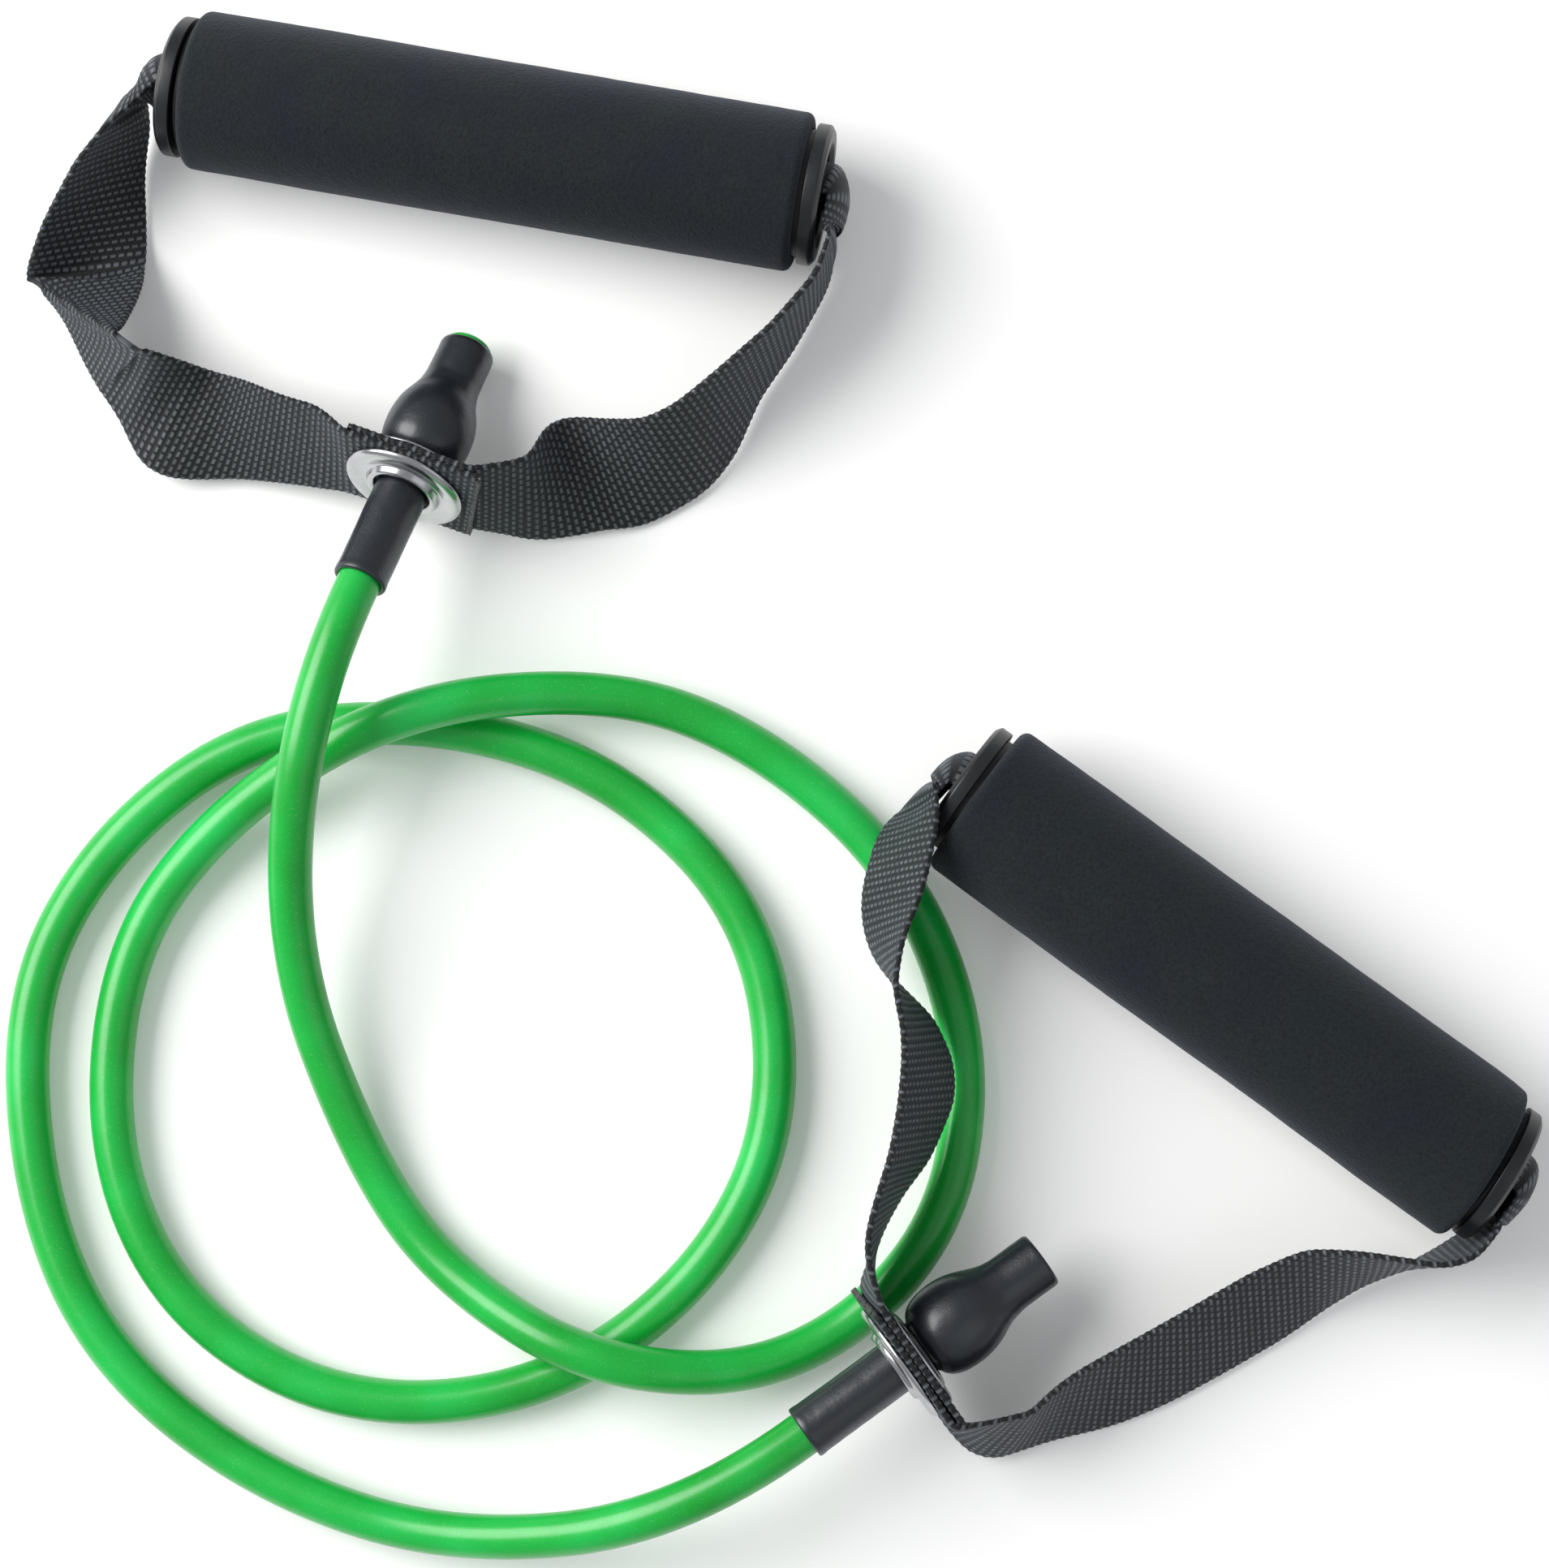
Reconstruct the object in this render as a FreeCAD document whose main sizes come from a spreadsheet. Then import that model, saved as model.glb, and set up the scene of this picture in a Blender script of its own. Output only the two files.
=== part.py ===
import FreeCAD, Part
import math
import os

from FreeCAD import Vector, Rotation, Placement

# Resistance band: an elastic tube with a foam-grip handle on each end.
# Row frame: origin on the ground under the middle of the handles, +Z up, +X and +Y in the plane it lies on.
# Handle A is the one at -X +Y, handle B the one at +X -Y.

doc = FreeCAD.newDocument("ResistanceBand")

# ---------------------------------------------------------------- driving sizes, mm
SIZES = [
    ("foam_length_a", 128.5, "foam sleeve length, handle A"),
    ("foam_length_b", 126.5, "foam sleeve length, handle B"),
    ("foam_dia_a", 33.0, "foam outside diameter, handle A"),
    ("foam_dia_b", 33.9, "foam outside diameter, handle B"),
    ("foam_edge", 4.5, "rounding of the foam's rims"),
    ("core_dia", 26.0, "grip core outside diameter"),
    ("core_bore", 22.6, "grip core bore"),
    ("cap_gap", 1.2, "core left bare between foam and cap"),
    ("cap_dia", 29.0, "cap flange diameter"),
    ("cap_thick", 3.4, "cap flange thickness"),
    ("cap_bore", 20.6, "cap bore, for the webbing"),
    ("cap_spigot", 12.0, "cap spigot length inside the core"),
    ("cap_spigot_dia", 22.5, "cap spigot diameter"),
    ("web_width", 25.0, "webbing width"),
    ("web_thick", 1.5, "webbing thickness"),
    ("web_curl", 8.8, "radius of the webbing curled in the core"),
    ("web_drop", 2.5, "the curl's centre, below the bore's middle"),
    ("lap_offset", 0.82, "half distance between the two lapped layers"),
    ("lap_end", 14.5, "cut end of each layer, from the grommet axis"),
    ("lap_end_back", 12.9, "the same for handle A's back layer"),
    ("lap_skew", 1.3, "slant of handle A's front cut end, each way"),
    ("tip_proud", 1.3, "tube standing out of handle A's sleeve"),
    ("eye_bore", 12.1, "grommet bore"),
    ("eye_barrel", 15.0, "grommet barrel outside diameter"),
    ("eye_flange", 25.6, "grommet flange diameter"),
    ("eye_plate", 0.9, "grommet plate thickness"),
    ("eye_clear", 0.05, "gap between grommet plates and webbing"),
    ("sleeve_dia", 11.0, "rubber sleeve outside diameter"),
    ("sleeve_front", 25.6, "sleeve length on the tube side of the grommet"),
    ("sleeve_back", 33.3, "sleeve length on the plug side of the grommet"),
    ("sleeve_wall", 1.0, "sleeve wall"),
    ("bulge_dia", 18.6, "sleeve bulge over the plug"),
    ("tube_dia", 9.0, "elastic tube outside diameter"),
    ("tube_bore", 5.0, "elastic tube bore"),
    ("tube_stretch_wall", 1.6, "tube wall stretched over the plug"),
    ("plug_dia", 13.4, "anchor plug diameter"),
]
sheet = doc.addObject("Spreadsheet::Sheet", "Sizes")
for row, (alias, value, note) in enumerate(SIZES, start=1):
    sheet.set("A%d" % row, alias)
    sheet.set("B%d" % row, "%g" % value)
    sheet.set("C%d" % row, note)
    sheet.setAlias("B%d" % row, alias)
doc.recompute()


def size(alias):
    return float(getattr(sheet, alias))


# ---------------------------------------------------------------- layout
GROMMET_A = (-73.3512, 50.5711, 18.2000)
SLEEVE_AXIS_A = (0.3153, 0.8719, -0.3746)
LAP_A = (-0.9404, 0.3401, -0.0000)
LAP_WIDTH_A = (0.1274, 0.3523, 0.9272)
GROMMET_B = (29.0315, -127.5358, 19.8000)
SLEEVE_AXIS_B = (0.8066, 0.5818, -0.1045)
LAP_B = (-0.5509, 0.8040, 0.2237)
LAP_WIDTH_B = (0.2142, -0.1229, 0.9690)
GRIP_A = (-55.2333, 121.1707, 16.5000)
GRIP_AXIS_A = (0.9831, -0.1833, 0.0000)
GRIP_B = (94.1088, -52.5232, 16.9500)
GRIP_AXIS_B = (0.8071, -0.5905, 0.0000)

# handle A, grommet to left cap: (first edge, second edge) of the webbing, mm
LEG_A_LEFT = [
    ((-84.71, 58.85, 30.10), (-87.90, 50.04, 6.92)),
    ((-88.06, 61.98, 27.94), (-92.75, 50.82, 6.07)),
    ((-96.07, 66.23, 24.06), (-102.48, 52.42, 4.24)),
    ((-104.08, 69.75, 19.81), (-112.45, 53.50, 2.77)),
    ((-110.87, 72.92, 13.66), (-122.50, 53.30, 3.46)),
    ((-118.89, 75.30, 14.88), (-131.74, 56.68, 4.23)),
    ((-127.63, 76.92, 24.91), (-139.37, 69.90, 4.11)),
    ((-127.86, 76.97, 25.07), (-145.03, 78.50, 4.34)),
    ((-128.09, 77.02, 25.23), (-150.36, 87.26, 4.60)),
    ((-128.32, 77.08, 25.40), (-156.85, 94.87, 5.69)),
    ((-129.64, 83.71, 18.24), (-156.77, 95.01, 5.95)),
    ((-130.91, 90.67, 11.41), (-156.68, 95.16, 6.20)),
    ((-132.04, 98.10, 4.98), (-156.60, 95.30, 6.46)),
    ((-132.63, 106.80, 1.00), (-153.28, 100.31, 13.46)),
    ((-133.11, 116.54, 0.99), (-148.36, 107.69, 18.70)),
    ((-133.61, 126.26, 1.42), (-142.73, 115.66, 22.14)),
    ((-133.46, 131.07, 2.30), (-139.67, 119.55, 23.60)),
    ((-134.36, 135.72, 3.55), (-136.56, 123.34, 25.15)),
    ((-130.79, 132.42, 3.78), (-132.43, 126.43, 25.36)),
    ((-126.99, 129.67, 5.24), (-128.26, 129.49, 25.13)),
    ((-124.31, 132.85, 7.80), (-124.31, 132.85, 25.20)),
]
# handle A, grommet to right cap: (first edge, second edge) of the webbing, mm
LEG_A_RIGHT = [
    ((-58.80, 51.10, 29.48), (-61.99, 42.29, 6.30)),
    ((-55.04, 51.75, 27.50), (-58.24, 41.78, 4.80)),
    ((-48.17, 54.01, 23.13), (-50.59, 40.46, 2.26)),
    ((-45.68, 59.70, 17.58), (-42.47, 40.73, 1.63)),
    ((-41.53, 63.83, 12.08), (-34.37, 41.94, 2.26)),
    ((-34.27, 63.36, 13.57), (-26.21, 43.21, 1.19)),
    ((-28.01, 62.23, 18.40), (-18.73, 46.88, 1.00)),
    ((-20.88, 63.29, 21.57), (-11.96, 51.72, 1.28)),
    ((-14.18, 67.23, 23.46), (-7.01, 58.38, 1.20)),
    ((-7.85, 72.07, 24.88), (-3.72, 65.96, 1.00)),
    ((-1.59, 77.20, 25.61), (0.18, 73.20, 1.00)),
    ((4.26, 82.86, 25.83), (4.72, 80.04, 1.00)),
    ((9.58, 89.07, 25.91), (8.81, 87.16, 1.00)),
    ((13.38, 96.22, 26.18), (12.86, 94.25, 1.26)),
    ((15.86, 99.40, 26.54), (14.46, 97.94, 1.62)),
    ((12.00, 99.11, 26.59), (12.16, 99.99, 4.15)),
    ((12.68, 103.05, 26.64), (12.69, 103.01, 6.72)),
    ((13.41, 107.17, 25.20), (13.41, 107.17, 7.80)),
]
# handle B, grommet to left cap: (first edge, second edge) of the webbing, mm
LEG_B_LEFT = [
    ((24.93, -117.74, 34.85), (19.58, -114.67, 10.62)),
    ((23.46, -113.80, 35.01), (20.82, -110.67, 10.35)),
    ((21.58, -105.64, 35.00), (23.73, -102.77, 10.26)),
    ((22.92, -97.43, 34.67), (27.81, -95.39, 10.24)),
    ((25.26, -89.46, 34.01), (32.87, -88.62, 10.21)),
    ((27.05, -81.40, 33.41), (36.46, -80.91, 10.26)),
    ((28.21, -73.24, 33.30), (38.20, -72.64, 10.39)),
    ((28.69, -65.05, 34.07), (35.98, -64.42, 10.17)),
    ((27.57, -56.90, 34.86), (31.09, -57.43, 10.12)),
    ((27.56, -48.72, 34.84), (25.11, -51.22, 10.09)),
    ((29.81, -40.85, 33.74), (20.92, -43.81, 10.56)),
    ((32.64, -33.14, 32.83), (19.96, -35.38, 11.40)),
    ((34.51, -25.04, 33.24), (21.81, -27.10, 11.80)),
    ((35.49, -16.65, 33.01), (24.33, -19.08, 10.76)),
    ((33.84, -12.68, 32.85), (26.03, -15.48, 9.26)),
    ((32.02, -15.59, 30.79), (30.32, -15.71, 8.39)),
    ((35.16, -15.68, 28.07), (34.69, -16.31, 8.18)),
    ((37.52, -12.59, 25.65), (37.52, -12.59, 8.25)),
]
# handle B, grommet to right cap: (first edge, second edge) of the webbing, mm
LEG_B_RIGHT = [
    ((38.49, -140.40, 28.98), (33.13, -137.33, 4.75)),
    ((42.39, -139.87, 28.20), (35.58, -141.14, 4.19)),
    ((49.81, -138.57, 25.48), (41.67, -147.81, 3.72)),
    ((56.24, -135.33, 22.83), (50.30, -148.03, 2.14)),
    ((62.28, -130.61, 20.84), (58.88, -145.47, 1.03)),
    ((69.13, -126.73, 19.63), (67.62, -143.33, 1.00)),
    ((76.16, -122.97, 18.96), (76.06, -140.34, 1.00)),
    ((83.21, -119.07, 18.69), (84.17, -136.70, 1.00)),
    ((90.24, -114.99, 18.72), (91.97, -132.53, 1.00)),
    ((97.36, -110.97, 19.02), (99.58, -128.16, 1.00)),
    ((104.82, -107.62, 20.10), (107.02, -123.60, 1.00)),
    ((112.54, -106.11, 22.55), (114.14, -118.66, 1.00)),
    ((120.65, -106.52, 24.77), (121.53, -114.20, 1.00)),
    ((128.96, -107.78, 25.80), (129.51, -110.88, 1.00)),
    ((137.36, -108.00, 25.96), (137.08, -106.71, 1.00)),
    ((144.42, -103.66, 25.93), (144.26, -101.87, 1.00)),
    ((147.55, -100.86, 25.96), (147.73, -99.43, 1.00)),
    ((143.76, -102.10, 25.10), (144.46, -101.05, 2.68)),
    ((146.17, -98.68, 24.58), (146.65, -97.99, 4.70)),
    ((149.22, -94.31, 25.65), (149.22, -94.31, 8.25)),
]
# route points of the elastic tube, from the sleeve of handle A to the sleeve of handle B, mm
TUBE_ROUTE = [
    (-81.42, 28.25, 27.79),
    (-90.82, 2.25, 38.96),
    (-98.79, -45.59, 15.57),
    (-84.27, -88.34, 4.54),
    (-66.89, -112.82, 4.55),
    (-33.35, -130.96, 18.87),
    (4.75, -132.40, 4.55),
    (36.01, -106.02, 4.54),
    (42.40, -66.86, 4.58),
    (28.67, -29.64, 4.56),
    (-1.39, -2.78, 4.54),
    (-32.67, 8.66, 7.93),
    (-75.91, 3.67, 19.90),
    (-114.73, -18.31, 6.35),
    (-135.29, -46.48, 4.54),
    (-138.07, -88.83, 4.56),
    (-121.14, -122.12, 4.57),
    (-86.31, -140.51, 4.55),
    (-44.96, -136.44, 4.67),
    (-12.56, -112.85, 4.57),
    (3.47, -80.04, 4.56),
    (-1.94, -39.22, 4.57),
    (-30.32, -10.24, 4.56),
    (-67.32, 2.20, 4.67),
    (-107.45, 0.25, 4.56),
    (-139.03, -23.15, 4.57),
    (-155.86, -55.05, 4.57),
    (-153.01, -97.49, 4.57),
    (-137.57, -130.47, 4.55),
    (-104.89, -155.06, 5.33),
    (-64.51, -167.49, 7.58),
    (-15.29, -159.50, 25.54),
    (8.38, -142.43, 22.48),
]


def vec(t):
    return Vector(*t)


def along(base, axis, up=None):
    """Placement with local Z along axis."""
    z = vec(axis).normalize()
    x = Vector(0, 0, 1).cross(z)
    if x.Length < 1e-6:
        x = Vector(1, 0, 0)
    x.normalize()
    y = z.cross(x)
    return Placement(vec(base), Rotation(x, y, z, "ZXY"))


# ---------------------------------------------------------------- sketch helpers
def plane(body, role):
    for f in body.Origin.OriginFeatures:
        if f.Role == role:
            return f
    raise RuntimeError(role)


def profile(body, name, points):
    """Closed straight-sided profile in the body's XZ plane; points are (radius, height) expressions."""
    sk = body.newObject("Sketcher::SketchObject", name)
    sk.AttachmentSupport = (plane(body, "XZ_Plane"), [""])
    sk.MapMode = "FlatFace"
    vals = []
    for rx, hz in points:
        vals.append((evaluate(rx), evaluate(hz)))
    n = len(vals)
    for i in range(n):
        a, b = vals[i], vals[(i + 1) % n]
        sk.addGeometry(Part.LineSegment(Vector(a[0], a[1], 0), Vector(b[0], b[1], 0)), False)
    import Sketcher
    for i in range(n):
        sk.addConstraint(Sketcher.Constraint("Coincident", i, 2, (i + 1) % n, 1))
    for i, (rx, hz) in enumerate(points):
        if abs(vals[i][0]) < 1e-9:
            sk.addConstraint(Sketcher.Constraint("PointOnObject", i, 1, -2))
        else:
            k = sk.addConstraint(Sketcher.Constraint("DistanceX", -1, 1, i, 1, vals[i][0]))
            sk.setExpression("Constraints[%d]" % k, bind(rx))
        if abs(vals[i][1]) < 1e-9:
            sk.addConstraint(Sketcher.Constraint("PointOnObject", i, 1, -1))
        else:
            k = sk.addConstraint(Sketcher.Constraint("DistanceY", -1, 1, i, 1, vals[i][1]))
            sk.setExpression("Constraints[%d]" % k, bind(hz))
    return sk


NAMES = sorted((a for a, _, _ in SIZES), key=len, reverse=True)


def tokens(expr):
    out, i = [], 0
    while i < len(expr):
        if expr[i].isalpha():
            j = i
            while j < len(expr) and (expr[j].isalnum() or expr[j] == "_"):
                j += 1
            out.append(expr[i:j])
            i = j
        else:
            out.append(expr[i])
            i += 1
    return out


def bind(expr):
    """The expression with each alias read from the sheet."""
    return "".join("Sizes." + t if t in NAMES else t for t in tokens(expr))


def evaluate(expr):
    """Value of a sum of products of aliases and numbers."""
    total = 0.0
    for term in expr.replace("-", "+-").split("+"):
        term = term.strip()
        if not term:
            continue
        sign = 1.0
        if term.startswith("-"):
            sign, term = -1.0, term[1:].strip()
        value = sign
        parts = term.replace("/", "*/").split("*")
        for p in parts:
            p = p.strip()
            if p.startswith("/"):
                p = p[1:].strip()
                value /= size(p) if p in NAMES else float(p)
            else:
                value *= size(p) if p in NAMES else float(p)
        total += value
    return total


def turned(label, points, placement):
    """A body of revolution about its own Z axis."""
    body = doc.addObject("PartDesign::Body", label)
    body.Label = label
    sk = profile(body, label + "_profile", points)
    rev = body.newObject("PartDesign::Revolution", label + "_turn")
    rev.Profile = sk
    rev.ReferenceAxis = (sk, ["V_Axis"])
    rev.Angle = 360.0
    body.Tip = rev
    body.Placement = placement
    return body


NODES = []

# ---------------------------------------------------------------- grips
for h, grip, axis, foam, long in (("a", GRIP_A, GRIP_AXIS_A, "foam_dia_a", "foam_length_a"), ("b", GRIP_B, GRIP_AXIS_B, "foam_dia_b", "foam_length_b")):
    # local origin at the left end of the foam, so that every height is positive
    start = vec(grip) - vec(axis) * (size(long) / 2)
    pl = along(start, axis)
    # foam sleeve, its rims rounded
    foam_body = doc.addObject("PartDesign::Body", "foam_grip_" + h)
    foam_body.Label = "foam_grip_" + h
    sk = profile(foam_body, "foam_profile_" + h, [
        ("core_dia/2+0.05", "0"), (foam + "/2", "0"), (foam + "/2", long), ("core_dia/2+0.05", long)])
    rev = foam_body.newObject("PartDesign::Revolution", "foam_turn_" + h)
    rev.Profile = sk
    rev.ReferenceAxis = (sk, ["V_Axis"])
    rev.Angle = 360.0
    foam_body.Tip = rev
    doc.recompute()
    rims = []
    for i, e in enumerate(rev.Shape.Edges, start=1):
        c = e.Curve
        if isinstance(c, Part.Circle) and abs(c.Radius - size(foam) / 2) < 1e-3:
            rims.append("Edge%d" % i)
    fil = foam_body.newObject("PartDesign::Fillet", "foam_rims_" + h)
    fil.Base = (rev, rims)
    fil.Radius = 2.0
    fil.setExpression("Radius", "min(Sizes.foam_edge; (Sizes.%s - Sizes.core_dia) / 2 - 0.4)" % foam)
    foam_body.Tip = fil
    foam_body.Placement = pl
    NODES.append(foam_body)

    # rigid core tube: a padded ring
    core = doc.addObject("PartDesign::Body", "core_tube_" + h)
    core.Label = "core_tube_" + h
    sk = core.newObject("Sketcher::SketchObject", "core_ring_" + h)
    sk.AttachmentSupport = (plane(core, "XY_Plane"), [""])
    sk.MapMode = "FlatFace"
    import Sketcher
    for k, alias in enumerate(("core_dia", "core_bore")):
        sk.addGeometry(Part.Circle(Vector(0, 0, 0), Vector(0, 0, 1), size(alias) / 2), False)
        sk.addConstraint(Sketcher.Constraint("Coincident", k, 3, -1, 1))
        c = sk.addConstraint(Sketcher.Constraint("Diameter", k, size(alias)))
        sk.setExpression("Constraints[%d]" % c, "Sizes." + alias)
    pad = core.newObject("PartDesign::Pad", "core_pad_" + h)
    pad.Profile = sk
    pad.Length = size(long) + 2 * size("cap_gap")
    pad.setExpression("Length", "Sizes.%s + 2 * Sizes.cap_gap" % long)
    core.Tip = pad
    core.Placement = along(vec(grip) - vec(axis) * (size(long) / 2 + size("cap_gap")), axis)
    NODES.append(core)

    # end caps: a flange on the core's end face and a spigot inside the core, open for the webbing
    cap_pts = [
        ("cap_bore/2+0.8", "0"), ("cap_dia/2-0.7", "0"), ("cap_dia/2", "0.7"), ("cap_dia/2", "cap_thick"),
        ("cap_spigot_dia/2", "cap_thick"), ("cap_spigot_dia/2", "cap_thick+cap_spigot-0.8"),
        ("cap_spigot_dia/2-0.4", "cap_thick+cap_spigot"), ("cap_bore/2", "cap_thick+cap_spigot"), ("cap_bore/2", "0.8")]
    reach = size(long) / 2 + size("cap_gap") + size("cap_thick")
    for side, sgn in (("left", -1), ("right", 1)):
        base = vec(grip) + vec(axis) * (sgn * reach)
        inward = vec(axis) * (-sgn)
        NODES.append(turned("end_cap_%s_%s" % (side, h), cap_pts, along(base, (inward.x, inward.y, inward.z))))

# ---------------------------------------------------------------- grommets, sleeves, tube ends, plugs
# radius of the sleeve along its axis, from the grommet's middle towards its closed-over end
BULGE = [(3.4, 5.6), (4.4, 7.0), (5.6, 8.1), (7.4, 8.85), (9.4, 9.2), (11.6, 9.3), (13.8, 9.15), (16.0, 8.7),
         (18.0, 8.0), (19.8, 7.2), (21.6, 6.5), (23.4, 6.1), (25.6, 5.9)]
scale = size("bulge_dia") / 18.6

for h, centre, axis in (("a", GROMMET_A, SLEEVE_AXIS_A), ("b", GROMMET_B, SLEEVE_AXIS_B)):
    a = vec(axis).normalize()
    # local origin of the sleeve stack: the end that faces the free tube
    base = vec(centre) - a * size("sleeve_front")
    pl = along(base, (a.x, a.y, a.z))
    outer = [("tube_dia/2", "0"), ("sleeve_dia/2-0.25", "0"), ("sleeve_dia/2", "0.3")]
    outer += [("sleeve_dia/2", "sleeve_front+2.6")]
    outer += [("%.3f*bulge_dia" % (r / 18.6), "sleeve_front+%.2f" % s) for s, r in BULGE]
    outer += [("%.3f*bulge_dia" % (5.9 / 18.6), "sleeve_front+sleeve_back-0.3"), ("%.3f*bulge_dia-0.3" % (5.9 / 18.6), "sleeve_front+sleeve_back")]
    inner = [("%.3f*bulge_dia-sleeve_wall" % (5.9 / 18.6), "sleeve_front+sleeve_back")]
    inner += [("%.3f*bulge_dia-sleeve_wall" % (r / 18.6), "sleeve_front+%.2f" % s) for s, r in reversed(BULGE)]
    inner += [("tube_dia/2", "sleeve_front+2.6")]
    NODES.append(turned("end_sleeve_" + h, outer + inner, pl))
    # the tube's own end, gripped by the sleeve and swollen over the plug
    t_out = [("tube_dia/2", "0"), ("tube_dia/2", "sleeve_front+2.6")]
    t_out += [("%.3f*bulge_dia-sleeve_wall" % (r / 18.6), "sleeve_front+%.2f" % s) for s, r in BULGE]
    if h == "a":
        t_out += [("%.3f*bulge_dia-sleeve_wall" % (5.9 / 18.6), "sleeve_front+sleeve_back+tip_proud-0.5"),
                  ("%.3f*bulge_dia-sleeve_wall-0.5" % (5.9 / 18.6), "sleeve_front+sleeve_back+tip_proud")]
        tip = "sleeve_front+sleeve_back+tip_proud"
    else:
        t_out += [("%.3f*bulge_dia-sleeve_wall" % (5.9 / 18.6), "sleeve_front+sleeve_back-0.4")]
        tip = "sleeve_front+sleeve_back-0.4"
    t_in = [("tube_bore/2", tip), ("tube_bore/2", "sleeve_front+22.6")]
    t_in += [("%.3f*bulge_dia-sleeve_wall-tube_stretch_wall" % (r / 18.6), "sleeve_front+%.2f" % s)
             for s, r in reversed(BULGE) if 5.0 < s < 20.5]
    t_in += [("tube_bore/2", "sleeve_front+3.6"), ("tube_bore/2", "0")]
    NODES.append(turned("tube_end_" + h, t_out + t_in, pl))
    # plug inside the swollen tube
    plug = [("0", "sleeve_front+4.8")]
    plug += [("%.3f*plug_dia" % ((r - 2.65) / 13.4), "sleeve_front+%.2f" % s) for s, r in BULGE if 5.0 < s < 20.5]
    plug += [("0", "sleeve_front+21.2")]
    NODES.append(turned("anchor_plug_" + h, plug, pl))

    # grommet eyelet: dished flange on the tube side, barrel through both layers, rolled lip behind the washer
    half = "lap_offset+web_thick/2+eye_clear"
    gpl = along(vec(centre) - a * 8.0, (a.x, a.y, a.z))
    eye = [
        ("eye_bore/2", "8-%s" % "lap_offset-web_thick/2-eye_clear-1.5"),
        ("eye_bore/2+0.7", "8-lap_offset-web_thick/2-eye_clear-2.1"),
        ("eye_bore/2+2.4", "8-lap_offset-web_thick/2-eye_clear-1.9"),
        ("eye_flange/2-1.6", "8-lap_offset-web_thick/2-eye_clear-1.2"),
        ("eye_flange/2", "8-lap_offset-web_thick/2-eye_clear-0.5"),
        ("eye_flange/2", "8-lap_offset-web_thick/2-eye_clear"),
        ("eye_barrel/2", "8-lap_offset-web_thick/2-eye_clear"),
        ("eye_barrel/2", "8+lap_offset+web_thick/2+eye_clear+eye_plate"),
        ("eye_barrel/2+1.2", "8+lap_offset+web_thick/2+eye_clear+eye_plate"),
        ("eye_barrel/2+1.2", "8+lap_offset+web_thick/2+eye_clear+eye_plate+0.3"),
        ("eye_barrel/2", "8+lap_offset+web_thick/2+eye_clear+eye_plate+0.6"),
        ("eye_bore/2", "8+lap_offset+web_thick/2+eye_clear+eye_plate+0.4"),
    ]
    NODES.append(turned("grommet_eyelet_" + h, eye, gpl))
    wash = [
        ("eye_barrel/2", "8+lap_offset+web_thick/2+eye_clear"),
        ("eye_flange/2-0.6", "8+lap_offset+web_thick/2+eye_clear"),
        ("eye_flange/2-0.6", "8+lap_offset+web_thick/2+eye_clear+0.4"),
        ("eye_flange/2-1.6", "8+lap_offset+web_thick/2+eye_clear+eye_plate"),
        ("eye_barrel/2", "8+lap_offset+web_thick/2+eye_clear+eye_plate"),
    ]
    NODES.append(turned("grommet_washer_" + h, wash, gpl))


# ---------------------------------------------------------------- webbing loops
def curl_radius(chord, width):
    """Radius of the arc of the given length and chord; None when it is flat."""
    if chord > width * 0.9995:
        return None
    lo, hi = width / (2 * math.pi), 1e4
    for _ in range(80):
        mid = math.sqrt(lo * hi)
        if 2 * mid * math.sin(min(width / 2 / mid, math.pi)) < chord:
            lo = mid
        else:
            hi = mid
    return lo


SEG = 4


def section(e1, e2, tangent, bulge):
    """Two rows of points, the outer and the inner face of the webbing at one station."""
    w = e1 - e2
    chord = w.Length
    u = Vector(w).normalize()
    n = tangent.cross(u)
    n.normalize()
    mid = (e1 + e2) * 0.5
    rad = curl_radius(chord, size("web_width"))
    half_t = size("web_thick") / 2
    hi, lo = [], []
    for k in range(SEG + 1):
        f = 1 - 2.0 * k / SEG
        if rad is None:
            p, m = mid + u * (f * chord / 2), n
        else:
            ang = f * size("web_width") / 2 / rad
            drop = rad * math.cos(size("web_width") / 2 / rad)
            p = mid + u * (rad * math.sin(ang)) + n * (bulge * (rad * math.cos(ang) - drop))
            m = (u * math.sin(ang) + n * (bulge * math.cos(ang))) * bulge
        hi.append(p + m * half_t)
        lo.append(p - m * half_t)
    return hi, lo


def strap(stations, bulge):
    """Closed solid of the webbing along its stations, from triangles."""
    rings = []
    count = len(stations)
    for k, (e1, e2) in enumerate(stations):
        m = lambda s: (s[0] + s[1]) * 0.5
        if k == 0:
            t = m(stations[1]) - m(stations[0])
        elif k == count - 1:
            t = m(stations[k]) - m(stations[k - 1])
        else:
            t1 = m(stations[k]) - m(stations[k - 1])
            t2 = m(stations[k + 1]) - m(stations[k])
            t = t1.normalize() + t2.normalize()
        hi, lo = section(e1, e2, t.normalize(), bulge)
        rings.append(hi + list(reversed(lo)))
    faces = []

    def tri(p, q, r):
        if (q - p).cross(r - p).Length < 1e-7:
            return
        faces.append(Part.Face(Part.makePolygon([p, q, r, p])))

    m = len(rings[0])
    for k in range(count - 1):
        for j in range(m):
            a0, a1 = rings[k][j], rings[k][(j + 1) % m]
            b0, b1 = rings[k + 1][j], rings[k + 1][(j + 1) % m]
            tri(a0, a1, b1)
            tri(a0, b1, b0)
    for ring in (rings[0], rings[-1]):
        for j in range(SEG):
            p, q = ring[j], ring[j + 1]
            s, r = ring[m - 1 - j], ring[m - 2 - j]
            tri(p, q, r)
            tri(p, r, s)
    shell = Part.makeShell(faces)
    shell.sewShape()
    solid = Part.makeSolid(shell)
    if solid.Volume < 0:
        solid.reverse()
    return solid


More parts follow.
